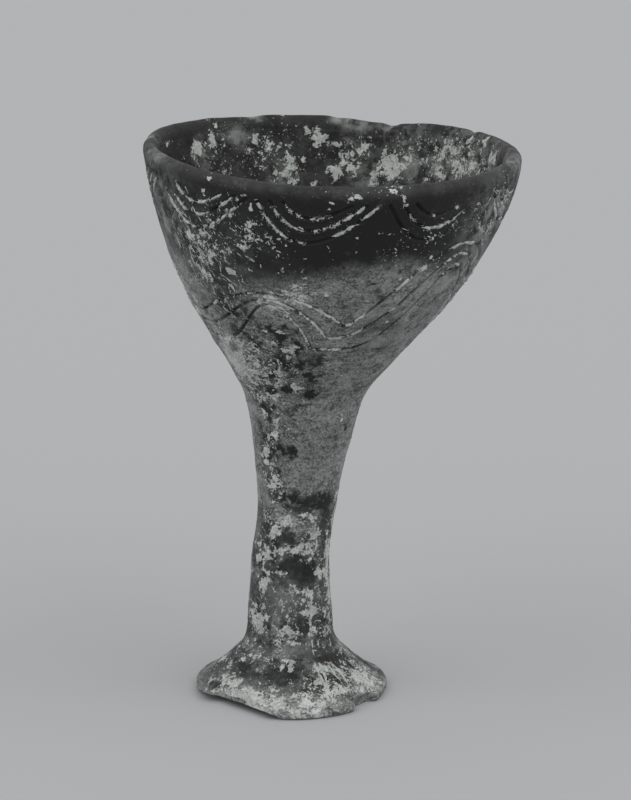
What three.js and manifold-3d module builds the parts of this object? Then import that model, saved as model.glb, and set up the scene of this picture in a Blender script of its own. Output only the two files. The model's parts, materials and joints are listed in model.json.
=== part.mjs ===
// A hand-built pottery goblet: hollow foot, solid stem and a coil-built bowl,
// with incised festoons and a triple zigzag band inlaid with white lime.
// Millimetres, +Z up, front towards -Y. The origin lies under the middle of
// the goblet, on the surface that the foot stands on.
import * as THREE from 'three';
import { mergeVertices } from 'three/addons/utils/BufferGeometryUtils.js';
import Module from 'manifold-3d';

// Heights, stacked from the table to the lip
const FOOT_HEIGHT = 17;
const STEM_LENGTH = 82;
const FLOOR_RING_HEIGHT = 15;
const LOWER_WALL_HEIGHT = 44;
const UPPER_WALL_HEIGHT = 16;
const LIP_HEIGHT = 4;

// Outer radii of the turned form, before the hand-made unevenness
const FOOT_RADIUS = 30.5;
const STEM_BASE_RADIUS = 13.8;
const STEM_WAIST_RADIUS = 12.2;
const STEM_TOP_RADIUS = 19.2;
const BELLY_RADIUS = 41.2;
const RIM_RADIUS = 59.2;

// Heights of the waist above the foot, and of the belly above the stem
const WAIST_RISE = 33;
const BELLY_RISE = 31;

// Outward slope of the skin, in millimetres of radius per millimetre of height
const STEM_FLARE = 0.26;
const BOWL_SPRING = 0.62;
const BELLY_SLOPE = 0.66;
const RIM_SLOPE = 0.2;

// Clay thicknesses
const WALL = 5;
const FLOOR_THICKNESS = 7;
const FLOOR_ROUND = 1.75;
const FOOT_FLOOR = 9;
const FOOT_RING_WIDTH = 6.5;
const FOOT_EDGE_HEIGHT = 3;
const FOOT_EDGE_ROUND = 2;
const FOOT_SAG = 1;
const HOLLOW_TOP_RADIUS = 12;

// Joints: tenons at both ends of the stem, lap joints between the wall rings,
// and wedge-shaped channels that the luting coils fill
const CLEARANCE = 0.3;
const FOOT_TENON_RADIUS = 7;
const BOWL_TENON_RADIUS = 9;
const SEAT_WIDTH = 2;
const LUTING_REACH = 4;
const COIL_SPREAD = 2.4;
const COIL_DROP = 2.8;
const LAP = 3;
const PATCH_OVERLAP = 3;
const PATCH_EDGE = 0.7;
const PATCH_CROWN = 2;

// Hand-made unevenness: the stem leans towards +X at a knee and again under
// the bowl, the lip dips and rises, and the foot has a tongue at the front
const KNEE_LEAN = 2.4;
const STEM_LEAN = 2.6;
const BOWL_LEAN = 8.4;
const BOWL_LEAN_ONSET = 1.2;
const KNEE_START = 42;
const KNEE_END = 66;
const LIP_TILT = 2;
const LIP_SADDLE = 0.9;
const LIP_NOD = 1;
const LIP_DENT = 1.6;
const LIP_DENT_ANGLE = 72;
const LIP_DENT_HALF_ANGLE = 12;
const TONGUE_REACH = 4.5;
const TONGUE_ANGLE = -80;
const TONGUE_SHARPNESS = 4;

// Old breaks in the edge of the foot: a long one at the left front, a short one at the
// right front, and a gap over the table that runs on from the long one to the left
const LONG_BREAK_ANGLE = -130;
const LONG_BREAK_SHIFT = 4;
const LONG_BREAK_RADIUS = 26.7;
const LONG_BREAK_WIDTH = 24;
const LONG_BREAK_TILT_ANGLE = -15;
const GAP_RADIUS = 19.4;
const GAP_SHIFT = -5;
const GAP_WIDTH = 42;
const GAP_TILT_ANGLE = 75;
const SHORT_BREAK_ANGLE = -42;
const SHORT_BREAK_RADIUS = 27.4;
const SHORT_BREAK_WIDTH = 9;

// Incised ornament and its lime filling
const GROOVE_WIDTH = 1.5;
const GROOVE_DEPTH = 1;
const GROOVE_LIFT = 0.5;
const LIME_GAP = 0.2;
const FESTOON_COUNT = 9;
const FESTOON_START_ANGLE = -134.5;
const FESTOON_TOP_MARGIN = 1.5;
const FESTOON_SKEW = -0.2;
const FESTOON_DROP = 12.8;
const ARC_SPACING = 4.1;
const FESTOON_HALF_ANGLE = 18.5;
const ARC_ANGLE_STEP = 4.2;
const FESTOON_ARCS = [
  { name: 'outer', inward: 0, steps: 7 },
  { name: 'middle', inward: 1, steps: 5 },
  { name: 'inner', inward: 2, steps: 4 },
];

// The zigzag band: heights above the foot of the lower wall. The lines lie close
// at the low peaks and spread at the troughs, where the lower ones turn earlier
const BAND_START_ANGLE = -113;
const BAND_FALL_ANGLE = 33;
const BAND_TROUGH = 11.8;
const BAND_LOW_PEAK = 25;
const BAND_HIGH_PEAK = 38.5;
const BAND_PEAK_SHARES = [0, 1, 0.45, 0.8, 0.3];
const LOW_PEAK_SPACING = 2;
const HIGH_PEAK_SPACING = 3.5;
const TROUGH_SPACING = 4.3;
const TURN_LEAD_ANGLE = 6.2;
const BAND_LINES = [
  { name: 'upper', up: 1, rise: 0.8 },
  { name: 'middle', up: 0, rise: 1.5 },
  { name: 'lower', up: -1, rise: 3 },
];
const FALL_STEPS = 4;
const RISE_STEPS = 6;

// Fineness: sectors round the axis, and steps along each curved stretch of an outline
const SECTORS = 48;
const STEPS = { footEdge: 3, belowWaist: 3, aboveWaist: 5, coil: 2, floorRing: 3, floorInside: 2,
  patch: 3, lowerWall: 5, upperWall: 3, lip: 7 };
const WELD = 1e-4;

// Levels that follow from the heights
const bowlSeat = FOOT_HEIGHT + STEM_LENGTH;
const lowerWallBase = bowlSeat + FLOOR_RING_HEIGHT;
const upperWallBase = lowerWallBase + LOWER_WALL_HEIGHT;
const lipBase = upperWallBase + UPPER_WALL_HEIGHT;
const lipTop = lipBase + LIP_HEIGHT;
const bowlFloor = bowlSeat + FLOOR_THICKNESS;
const hollowTop = FOOT_HEIGHT - FOOT_FLOOR;
const degrees = THREE.MathUtils.degToRad;

const wasm = await Module();
wasm.setup();

const burnishedBlack = new THREE.MeshStandardMaterial({ color: 0x1f1e1d, roughness: 0.5, metalness: 0 });
const firedGrey = new THREE.MeshStandardMaterial({ color: 0x5a5c5b, roughness: 0.75, metalness: 0 });
const whiteLime = new THREE.MeshStandardMaterial({ color: 0xc4c6c3, roughness: 0.95, metalness: 0 });

// The skin runs smoothly from station to station: height, radius and the slope on either side
const stations = [
  { height: FOOT_HEIGHT, radius: STEM_BASE_RADIUS, before: 0, after: 0 },
  { height: FOOT_HEIGHT + WAIST_RISE, radius: STEM_WAIST_RADIUS, before: 0, after: 0 },
  { height: bowlSeat, radius: STEM_TOP_RADIUS, before: STEM_FLARE, after: BOWL_SPRING },
  { height: bowlSeat + BELLY_RISE, radius: BELLY_RADIUS, before: BELLY_SLOPE, after: BELLY_SLOPE },
  { height: lipBase, radius: RIM_RADIUS, before: RIM_SLOPE, after: RIM_SLOPE },
];

function outerRadius(height) {
  const last = stations.length - 2;
  const found = stations.findIndex((station, i) => i <= last && height <= stations[i + 1].height);
  const low = stations[found < 0 ? last : found];
  const high = stations[(found < 0 ? last : found) + 1];
  const span = high.height - low.height;
  const t = THREE.MathUtils.clamp((height - low.height) / span, 0, 1);
  const eased = t * t * (3 - 2 * t);
  const leaving = low.after * span * t * (1 - t) * (1 - t);
  const arriving = high.before * span * t * t * (1 - t);
  return THREE.MathUtils.lerp(low.radius, high.radius, eased) + leaving - arriving;
}

function outerSlope(height) {
  const step = 0.5;
  return (outerRadius(height + step) - outerRadius(height - step)) / (2 * step);
}

function innerRadius(height) {
  return outerRadius(height) - WALL * Math.hypot(1, outerSlope(height));
}

// Points on the outer or inner skin between two heights, in steps
function skin(radiusAt, from, to, steps) {
  return Array.from({ length: steps + 1 }, (_, i) => {
    const height = THREE.MathUtils.lerp(from, to, i / steps);
    return new THREE.Vector2(radiusAt(height), height);
  });
}

// How far along a stretch of height a level lies, from 0 to 1
function ramp(value, from, to) {
  return THREE.MathUtils.clamp((value - from) / (to - from), 0, 1);
}

// Moves a point of the turned form to its place on the uneven, leaning goblet
function handmade(point) {
  const { x, y, z } = point;
  const radius = Math.hypot(x, y);
  const towardsTongue = (1 + Math.cos(Math.atan2(y, x) - degrees(TONGUE_ANGLE))) / 2;
  const belowStem = 1 - ramp(z, hollowTop, FOOT_HEIGHT + LUTING_REACH);
  const onFoot = ramp(radius, STEM_BASE_RADIUS, FOOT_RADIUS) * belowStem;
  const reach = TONGUE_REACH * towardsTongue ** TONGUE_SHARPNESS * onFoot;
  const stretch = radius > 0 ? 1 + reach / radius : 1;
  const across = x / RIM_RADIUS;
  const along = y / RIM_RADIUS;
  const fromDent = (Math.atan2(y, x) - degrees(LIP_DENT_ANGLE)) / degrees(LIP_DENT_HALF_ANGLE);
  const dent = LIP_DENT * Math.exp(-fromDent * fromDent) * ramp(z, upperWallBase, lipTop);
  const lift = LIP_SADDLE * (across * across - along * along) + LIP_NOD * along - LIP_TILT * across - dent;
  const knee = THREE.MathUtils.smoothstep(z, KNEE_START, KNEE_END);
  const bowlSwing = ramp(z, bowlSeat, lipTop);
  const lean = KNEE_LEAN * knee
    + STEM_LEAN * ramp(z, KNEE_END, bowlSeat)
    + BOWL_LEAN * Math.sin((bowlSwing * Math.PI) / 2) ** BOWL_LEAN_ONSET;
  return new THREE.Vector3(x * stretch + lean, y * stretch, z + lift * bowlSwing);
}

function solidOf(geometry) {
  geometry.deleteAttribute('normal');
  geometry.deleteAttribute('uv');
  const merged = mergeVertices(geometry, WELD);
  const corners = merged.index.array;
  const triangles = [];
  for (let i = 0; i < corners.length; i += 3) {
    const [a, b, c] = corners.slice(i, i + 3);
    if (a !== b && b !== c && c !== a) triangles.push(a, b, c);
  }
  return new wasm.Manifold(new wasm.Mesh({
    numProp: 3,
    vertProperties: Float32Array.from(merged.attributes.position.array),
    triVerts: Uint32Array.from(triangles),
  }));
}

// Turns a closed outline of (radius, height) points round the upright axis
function revolve(outline) {
  const geometry = new THREE.LatheGeometry([...outline, outline[0]], SECTORS);
  return solidOf(geometry.rotateX(Math.PI / 2));
}

// Sweeps a section of (side, out) points along stops on the skin, with closed ends
function sweep(stops, section) {
  const count = section.length;
  const positions = [];
  const index = [];
  stops.forEach((stop, i) => {
    const before = stops[Math.max(i - 1, 0)].point;
    const after = stops[Math.min(i + 1, stops.length - 1)].point;
    const side = after.clone().sub(before).cross(stop.normal).normalize();
    section.forEach(([across, out]) => {
      const corner = stop.point.clone().addScaledVector(side, across).addScaledVector(stop.normal, out);
      positions.push(corner.x, corner.y, corner.z);
    });
    if (i === 0) return;
    for (let k = 0; k < count; k += 1) {
      const a = (i - 1) * count + k;
      const b = (i - 1) * count + ((k + 1) % count);
      index.push(a, a + count, b, b, a + count, b + count);
    }
  });
  const end = (stops.length - 1) * count;
  for (let k = 1; k < count - 1; k += 1) {
    index.push(0, k, k + 1, end, end + k + 1, end + k);
  }
  const geometry = new THREE.BufferGeometry();
  geometry.setAttribute('position', new THREE.Float32BufferAttribute(positions, 3));
  geometry.setIndex(index);
  return solidOf(geometry);
}

function nodeOf(name, solid, material) {
  const { vertProperties, triVerts } = solid.getMesh();
  const geometry = new THREE.BufferGeometry();
  geometry.setAttribute('position', new THREE.BufferAttribute(Float32Array.from(vertProperties), 3));
  geometry.setIndex(Array.from(triVerts));
  const place = geometry.attributes.position;
  for (let i = 0; i < place.count; i += 1) {
    const moved = handmade(new THREE.Vector3().fromBufferAttribute(place, i));
    place.setXYZ(i, moved.x, moved.y, moved.z);
  }
  geometry.computeVertexNormals();
  const mesh = new THREE.Mesh(geometry, material);
  mesh.name = name;
  return mesh;
}

const point = (radius, height) => new THREE.Vector2(radius, height);

// Seats of the stem: where the flat seat ends and the luting channel begins
const footSeat = FOOT_TENON_RADIUS + CLEARANCE + SEAT_WIDTH;
const bowlSeatRadius = BOWL_TENON_RADIUS + CLEARANCE + SEAT_WIDTH;
const footShoulder = point(STEM_BASE_RADIUS + COIL_SPREAD, FOOT_HEIGHT - COIL_DROP);

function footSolid() {
  const ringInner = FOOT_RADIUS - FOOT_RING_WIDTH;
  const edge = new THREE.Path();
  edge.moveTo(HOLLOW_TOP_RADIUS, hollowTop);
  edge.quadraticCurveTo((HOLLOW_TOP_RADIUS + ringInner) / 2, hollowTop, ringInner, 0);
  edge.lineTo(FOOT_RADIUS - FOOT_EDGE_ROUND / 2, 0);
  edge.quadraticCurveTo(FOOT_RADIUS, 0, FOOT_RADIUS, FOOT_EDGE_HEIGHT / 2);
  edge.quadraticCurveTo(FOOT_RADIUS, FOOT_EDGE_HEIGHT, FOOT_RADIUS - FOOT_EDGE_ROUND, FOOT_EDGE_HEIGHT);
  edge.quadraticCurveTo((footShoulder.x + FOOT_RADIUS - FOOT_EDGE_ROUND) / 2 - FOOT_SAG,
    (footShoulder.y + FOOT_EDGE_HEIGHT) / 2, footShoulder.x, footShoulder.y);
  const socket = FOOT_TENON_RADIUS + CLEARANCE;
  const outline = [
    point(socket, hollowTop),
    ...edge.getPoints(STEPS.footEdge),
    point(footSeat, FOOT_HEIGHT),
    point(socket, FOOT_HEIGHT),
  ];
  const longBreak = breakBlock(LONG_BREAK_RADIUS, LONG_BREAK_TILT_ANGLE, LONG_BREAK_WIDTH,
    LONG_BREAK_ANGLE, LONG_BREAK_SHIFT);
  const gap = breakBlock(GAP_RADIUS, GAP_TILT_ANGLE, GAP_WIDTH, LONG_BREAK_ANGLE, GAP_SHIFT);
  const shortBreak = breakBlock(SHORT_BREAK_RADIUS, 0, SHORT_BREAK_WIDTH, SHORT_BREAK_ANGLE);
  return revolve(outline)
    .subtract(longBreak)
    .subtract(gap)
    .subtract(shortBreak);
}

// A block whose inner face is a broken surface, tilted out over the table by the
// given angle and shifted sideways along the edge
function breakBlock(radius, tilt, width, angle, shift = 0) {
  const block = new THREE.BoxGeometry(FOOT_RADIUS, width, FOOT_RADIUS);
  block.translate(FOOT_RADIUS / 2, 0, 0);
  block.rotateY(degrees(tilt));
  block.translate(radius, shift, 0);
  block.rotateZ(degrees(angle));
  return solidOf(block);
}

function stemSolid() {
  const waist = FOOT_HEIGHT + WAIST_RISE;
  return revolve([
    point(0, hollowTop + CLEARANCE),
    point(FOOT_TENON_RADIUS, hollowTop + CLEARANCE),
    point(FOOT_TENON_RADIUS, FOOT_HEIGHT + CLEARANCE),
    point(footSeat, FOOT_HEIGHT + CLEARANCE),
    ...skin(outerRadius, FOOT_HEIGHT + LUTING_REACH, waist, STEPS.belowWaist),
    ...skin(outerRadius, waist, bowlSeat - LUTING_REACH, STEPS.aboveWaist).slice(1),
    point(bowlSeatRadius, bowlSeat),
    point(BOWL_TENON_RADIUS, bowlSeat),
    point(BOWL_TENON_RADIUS, bowlFloor - CLEARANCE),
    point(0, bowlFloor - CLEARANCE),
  ]);
}

// A coil in a wedge-shaped channel: kept clear of both faces, hollowed by a thumb on the outside
function lutingCoil(low, corner, high, hollow) {
  const along = high.clone().sub(low).normalize();
  const toLow = low.clone().sub(corner).normalize();
  const toHigh = high.clone().sub(corner).normalize();
  const opening = Math.acos(toLow.dot(toHigh));
  const lowTurn = Math.acos(-along.dot(toLow));
  const highTurn = Math.acos(along.dot(toHigh));
  const heart = toLow.clone().add(toHigh).normalize();
  const face = new THREE.Path();
  const start = low.clone().addScaledVector(along, CLEARANCE / Math.sin(lowTurn));
  const finish = high.clone().addScaledVector(along, -CLEARANCE / Math.sin(highTurn));
  face.moveTo(start.x, start.y);
  face.quadraticCurveTo(hollow.x, hollow.y, finish.x, finish.y);
  const inside = corner.clone().addScaledVector(heart, CLEARANCE / Math.sin(opening / 2));
  return revolve([...face.getPoints(STEPS.coil), inside]);
}

function lowerLutingCoil() {
  const low = footShoulder;
  const high = point(outerRadius(FOOT_HEIGHT + LUTING_REACH), FOOT_HEIGHT + LUTING_REACH + CLEARANCE);
  return lutingCoil(low, point(footSeat, FOOT_HEIGHT), high, point(STEM_BASE_RADIUS, FOOT_HEIGHT));
}

function upperLutingCoil() {
  const low = point(outerRadius(bowlSeat - LUTING_REACH), bowlSeat - LUTING_REACH);
  const high = point(outerRadius(bowlSeat + LUTING_REACH), bowlSeat + LUTING_REACH);
  return lutingCoil(low, point(bowlSeatRadius, bowlSeat), high, point(STEM_TOP_RADIUS, bowlSeat));
}

function bowlFloorSolid() {
  const socket = BOWL_TENON_RADIUS + CLEARANCE;
  const seat = bowlSeat + CLEARANCE;
  return revolve([
    point(socket, seat),
    point(bowlSeatRadius, seat),
    ...skin(outerRadius, bowlSeat + LUTING_REACH, lowerWallBase, STEPS.floorRing),
    ...skin(innerRadius, lowerWallBase + LAP, bowlFloor + FLOOR_ROUND, STEPS.floorInside),
    point(innerRadius(bowlFloor) - FLOOR_ROUND, bowlFloor),
    point(socket, bowlFloor),
  ]);
}

function floorPatchSolid() {
  const base = bowlFloor + CLEARANCE;
  const radius = BOWL_TENON_RADIUS + PATCH_OVERLAP;
  const crown = new THREE.Path();
  crown.moveTo(radius, base + PATCH_EDGE);
  crown.quadraticCurveTo(BOWL_TENON_RADIUS, base + PATCH_CROWN, 0, base + PATCH_CROWN);
  return revolve([point(0, base), point(radius, base), ...crown.getPoints(STEPS.patch)]);
}

// A wall ring between two levels; each joint rises by its lap towards the inside
function wallRing(base, top, baseLap, topLap, steps) {
  return revolve([
    ...skin(outerRadius, base + CLEARANCE, top, steps),
    ...skin(innerRadius, top + topLap, base + baseLap + CLEARANCE, Math.ceil(steps / 2)),
  ]);
}

function lipSolid() {
  const base = lipBase + CLEARANCE;
  const outer = outerRadius(lipBase);
  const inner = innerRadius(lipBase);
  const middle = (outer + inner) / 2;
  const bead = new THREE.EllipseCurve(middle, base, outer - middle, lipTop - base, 0, Math.PI);
  return revolve(bead.getPoints(STEPS.lip));
}

// A stop on the outer skin at an angle in degrees and a height, with its outward normal
function stopAt(angle, height) {
  const turn = degrees(angle);
  const radius = outerRadius(height);
  const normal = new THREE.Vector3(Math.cos(turn), Math.sin(turn), -outerSlope(height)).normalize();
  return { point: new THREE.Vector3(radius * Math.cos(turn), radius * Math.sin(turn), height), normal };
}

function stopsAlong(stroke, from, to) {
  return Array.from({ length: stroke.steps + 1 }, (_, i) => {
    const [angle, height] = stroke.at(THREE.MathUtils.lerp(from, to, i / stroke.steps));
    return stopAt(angle, height);
  });
}

// The V-shaped cut of one incised stroke
function groove(stroke) {
  const half = (GROOVE_WIDTH / 2) * (1 + GROOVE_LIFT / GROOVE_DEPTH);
  const section = [[-half, GROOVE_LIFT], [0, -GROOVE_DEPTH], [half, GROOVE_LIFT]];
  return sweep(stopsAlong(stroke, 0, 1), section);
}

// The lime that fills a stroke, clear of both faces and of its ends
function limeStrand(stroke) {
  const faceTurn = Math.atan2(GROOVE_WIDTH / 2, GROOVE_DEPTH);
  const half = GROOVE_WIDTH / 2 - LIME_GAP / Math.cos(faceTurn);
  const deep = GROOVE_DEPTH - LIME_GAP / Math.sin(faceTurn);
  const ends = stopsAlong(stroke, 0, 1);
  const span = ends[0].point.distanceTo(ends[ends.length - 1].point);
  const inset = (2 * LIME_GAP) / span;
  return sweep(stopsAlong(stroke, inset, 1 - inset), [[-half, 0], [0, -deep], [half, 0]]);
}

// One arc of a festoon, hung under the lip, with its lowest point drawn to one side
function festoonArc(centre, arc) {
  const top = lipBase - FESTOON_TOP_MARGIN;
  const drop = FESTOON_DROP - ARC_SPACING * arc.inward;
  const halfSpan = FESTOON_HALF_ANGLE - ARC_ANGLE_STEP * arc.inward;
  return {
    steps: arc.steps,
    at: (t) => {
      const across = 2 * t - 1;
      const slack = (across - FESTOON_SKEW) / (1 - FESTOON_SKEW * across);
      return [centre + across * halfSpan, top - drop * (1 - slack * slack)];
    },
  };
}

// A stroke of the band between two (angle, height) places, eased by its share of the height
function bandStroke(from, to, ease, steps) {
  return {
    steps,
    at: (t) => [
      THREE.MathUtils.lerp(from[0], to[0], t),
      THREE.MathUtils.lerp(from[1], to[1], ease(t)),
    ],
  };
}

const festoonStrokes = [];
for (let i = 0; i < FESTOON_COUNT; i += 1) {
  const centre = FESTOON_START_ANGLE + (360 / FESTOON_COUNT) * i;
  for (const arc of FESTOON_ARCS) {
    festoonStrokes.push({ name: `festoon_${i + 1}_${arc.name}_lime`, ...festoonArc(centre, arc) });
  }
}

// Each wave of the band falls in a lime-filled stroke and rises in an empty one
const filledStrokes = [];
const emptyStrokes = [];
const waveCount = BAND_PEAK_SHARES.length;
const waveSpan = 360 / waveCount;
const fallEase = (t) => t * t;

// The height of one line at the peak of a wave
function crestOf(wave, line) {
  const share = BAND_PEAK_SHARES[wave % waveCount];
  const peak = THREE.MathUtils.lerp(BAND_LOW_PEAK, BAND_HIGH_PEAK, share);
  const spacing = THREE.MathUtils.lerp(LOW_PEAK_SPACING, HIGH_PEAK_SPACING, share);
  return lowerWallBase + peak + spacing * line.up;
}

for (let i = 0; i < waveCount; i += 1) {
  const peakAngle = BAND_START_ANGLE + waveSpan * i;
  for (const line of BAND_LINES) {
    const turn = peakAngle + BAND_FALL_ANGLE - TURN_LEAD_ANGLE * (1 - line.up);
    const low = [turn, lowerWallBase + BAND_TROUGH + TROUGH_SPACING * line.up];
    const riseEase = (t) => THREE.MathUtils.smoothstep(t ** line.rise, 0, 1);
    const name = `wave_${i + 1}_${line.name}_lime`;
    filledStrokes.push({ name, ...bandStroke([peakAngle, crestOf(i, line)], low, fallEase, FALL_STEPS) });
    const next = [peakAngle + waveSpan, crestOf(i + 1, line)];
    emptyStrokes.push(bandStroke(low, next, riseEase, RISE_STEPS));
  }
}

function incised(wall, strokes) {
  return strokes.reduce((solid, stroke) => solid.subtract(groove(stroke)), wall);
}

const pedestal = new THREE.Group();
pedestal.add(
  nodeOf('foot', footSolid(), firedGrey),
  nodeOf('stem', stemSolid(), firedGrey),
  nodeOf('lower_luting_coil', lowerLutingCoil(), firedGrey),
  nodeOf('upper_luting_coil', upperLutingCoil(), firedGrey),
);

const lowerWall = wallRing(lowerWallBase, upperWallBase, LAP, LAP, STEPS.lowerWall);
const upperWall = wallRing(upperWallBase, lipBase, LAP, 0, STEPS.upperWall);
const bowl = new THREE.Group();
bowl.add(
  nodeOf('bowl_floor', bowlFloorSolid(), firedGrey),
  nodeOf('floor_patch', floorPatchSolid(), firedGrey),
  nodeOf('lower_wall', incised(lowerWall, [...filledStrokes, ...emptyStrokes]), firedGrey),
  nodeOf('upper_wall', incised(upperWall, festoonStrokes), burnishedBlack),
  nodeOf('rim_coil', lipSolid(), burnishedBlack),
);

const ornament = new THREE.Group();
for (const stroke of [...festoonStrokes, ...filledStrokes]) {
  ornament.add(nodeOf(stroke.name, limeStrand(stroke), whiteLime));
}

const goblet = new THREE.Group();
goblet.add(pedestal, bowl, ornament);
const middle = new THREE.Box3().setFromObject(goblet, true).getCenter(new THREE.Vector3());
goblet.position.set(-middle.x, -middle.y, 0);

export default goblet;
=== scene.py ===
"""The looks of a hand-built pottery goblet: smoked, worn clay with incised strokes, and what is left of
the lime in them.

Sizes are in millimetres, and angles in degrees round the upright axis. The front is at -90 degrees,
towards -Y.
"""

import itertools
import json

import bpy
import numpy as np
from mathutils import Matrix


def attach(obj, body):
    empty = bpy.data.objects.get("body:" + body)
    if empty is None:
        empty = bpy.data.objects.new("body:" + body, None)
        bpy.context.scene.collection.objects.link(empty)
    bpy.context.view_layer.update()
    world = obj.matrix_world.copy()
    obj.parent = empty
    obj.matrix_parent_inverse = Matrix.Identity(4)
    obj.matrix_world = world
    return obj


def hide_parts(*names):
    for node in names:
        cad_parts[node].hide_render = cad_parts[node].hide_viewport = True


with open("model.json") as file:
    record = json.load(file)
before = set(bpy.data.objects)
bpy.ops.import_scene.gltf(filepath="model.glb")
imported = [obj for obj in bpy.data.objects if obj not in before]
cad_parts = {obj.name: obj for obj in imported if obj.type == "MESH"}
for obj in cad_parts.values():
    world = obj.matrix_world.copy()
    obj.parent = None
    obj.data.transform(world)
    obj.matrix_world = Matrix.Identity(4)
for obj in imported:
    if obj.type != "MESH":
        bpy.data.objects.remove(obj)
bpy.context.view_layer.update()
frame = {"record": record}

MM = 0.001

# Heights and radii of the turned form, as the solids have them
FOOT_TOP = 17
BOWL_SEAT = 99
BOWL_FLOOR = 106
LOWER_WALL_BASE = 114
UPPER_WALL_BASE = 158
LIP_BASE = 174
LIP_TOP = 178
HOLLOW_TOP = 8
FOOT_RADIUS = 30.5
STEM_BASE_RADIUS = 13.8
STEM_TOP_RADIUS = 19.2
RIM_RADIUS = 59.2
WALL = 5
LAP = 3
CLEARANCE = 0.3
LUTING_REACH = 4
STEM_LOW = FOOT_TOP + LUTING_REACH
STEM_HIGH = BOWL_SEAT - LUTING_REACH
FOOT_RING_WIDTH = 6.5
FOOT_RING_RADIUS = FOOT_RADIUS - FOOT_RING_WIDTH
HOLLOW_TOP_RADIUS = 12
BOWL_RING_LOW = BOWL_SEAT + LUTING_REACH
SEAT_WIDTH = 2
FOOT_TENON_RADIUS = 7
FOOT_SOCKET_RADIUS = FOOT_TENON_RADIUS + CLEARANCE
FOOT_SEAT_RADIUS = FOOT_SOCKET_RADIUS + SEAT_WIDTH
BOWL_TENON_RADIUS = 9
BOWL_SOCKET_RADIUS = BOWL_TENON_RADIUS + CLEARANCE
BOWL_SEAT_RADIUS = BOWL_SOCKET_RADIUS + SEAT_WIDTH
FLOOR_ROUND = 1.75
FLOOR_EASE_IN = 0.05
FLOOR_EASE_DOWN = 0.15
PATCH_RADIUS = 12
PATCH_OVERLAP = 1
PATCH_EDGE = 0.7
PATCH_CROWN = 2
LIP_SHOULDER = LIP_TOP - 0.4
LIP_ROLL_OUT = 0.7
LIP_ROLL_IN = 0.5

# The foot's curves: start, pull and end as (radius, height)
FOOT_HOLLOW = (
    (HOLLOW_TOP_RADIUS, HOLLOW_TOP), ((HOLLOW_TOP_RADIUS + FOOT_RING_RADIUS) / 2, HOLLOW_TOP),
    (FOOT_RING_RADIUS, 0),
)
FOOT_FLAT = ((FOOT_RING_RADIUS + 0.3, 0), (27, 0), (FOOT_RADIUS - 1, 0))
FOOT_LOW_EDGE = ((FOOT_RADIUS - 0.95, 0.02), (FOOT_RADIUS, 0.02), (FOOT_RADIUS, 1.5))
FOOT_HIGH_EDGE = ((FOOT_RADIUS, 1.6), (FOOT_RADIUS, 3), (FOOT_RADIUS - 2, 3))
FOOT_SHOULDER = (16.2, 14.2)
FOOT_SLOPE = ((FOOT_RADIUS - 2.2, 3.15), (21.35, 8.6), FOOT_SHOULDER)

# How far joints stand off their neighbours, and hidden corners of the coils too (sideways and up). Then the
# small radii at which the pieces on the axis are closed
JOINT_EASE = 0.15
COIL_EASE_ASIDE = 0.6
COIL_EASE_UP = 0.2
STEM_CORE = 0.5
PATCH_CORE = 0.4

# The skin's stations: height, radius, slope below and slope above
STATIONS = (
    (FOOT_TOP, STEM_BASE_RADIUS, 0, 0),
    (50, 12.2, 0, 0),
    (BOWL_SEAT, STEM_TOP_RADIUS, 0.26, 0.62),
    (130, 41.2, 0.66, 0.66),
    (LIP_BASE, RIM_RADIUS, 0.2, 0.2),
)

# The hand-made unevenness of the solids: the stem leans towards +X at a knee and again under the bowl, the
# lip dips and rises, and the foot has a tongue at the front
KNEE = (42, 66)
KNEE_LEAN = 2.4
STEM_LEAN = 2.6
BOWL_LEAN = 8.4
BOWL_LEAN_ONSET = 1.2
LIP_TILT = 2
LIP_SADDLE = 0.9
LIP_NOD = 1
LIP_DENT = 1.6
LIP_DENT_ANGLE = 72
LIP_DENT_HALF_ANGLE = 12
TONGUE_REACH = 4.5
TONGUE_ANGLE = -80
TONGUE_SHARPNESS = 4

# The goblet's axis at the foot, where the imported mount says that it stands
AXIS_X = frame["record"]["mounts"][0]["pos_m"][0] / MM

# Which side of the clay a point of an outline lies on
HIDDEN, OUTSIDE, INSIDE, FOOT, UNDERSIDE = range(5)

# Breaks in the foot's edge, and the gap over the table that runs on from the first to the left:
# angle, sideways shift, inset, width and tilt
FOOT_BREAKS = ((-130, 4, 26.7, 24, -15), (-42, 0, 27.4, 9, 0))
FOOT_GAP = (-130, -5, 19.4, 42, 75)

# The breaks' roughness (height, size, seed), how it moves their ends and the gap's ceiling, how softly they
# end, and the lift over which the gap's ceiling is painted black as shade
BREAK_ROUGH = (0.5, 5, 41)
BREAK_END_WAVER = 2
CEILING_WAVER = 0.3
BREAK_EASE = 1.5
GAP_SHADE_LIFT = (0.1, 0.8)

# Chips in the lip: angle, half angle and depth. Then how far their edges waver, and the heights between
# which they grow to their full depth and to their full film of lime
LIP_CHIPS = (
    (69, 2.4, 0.8), (36, 2, 0.7), (88, 3, 0.4), (118, 4, 0.5), (-166, 2, 0.5), (-14, 2.5, 0.5),
    (175, 3, 0.6),
)
CHIP_WAVER = 30
CHIP_RISE = (LIP_BASE + 1, LIP_TOP - 0.5)
CHIP_FILM_RISE = (LIP_BASE + 1, LIP_TOP - 1)

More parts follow.
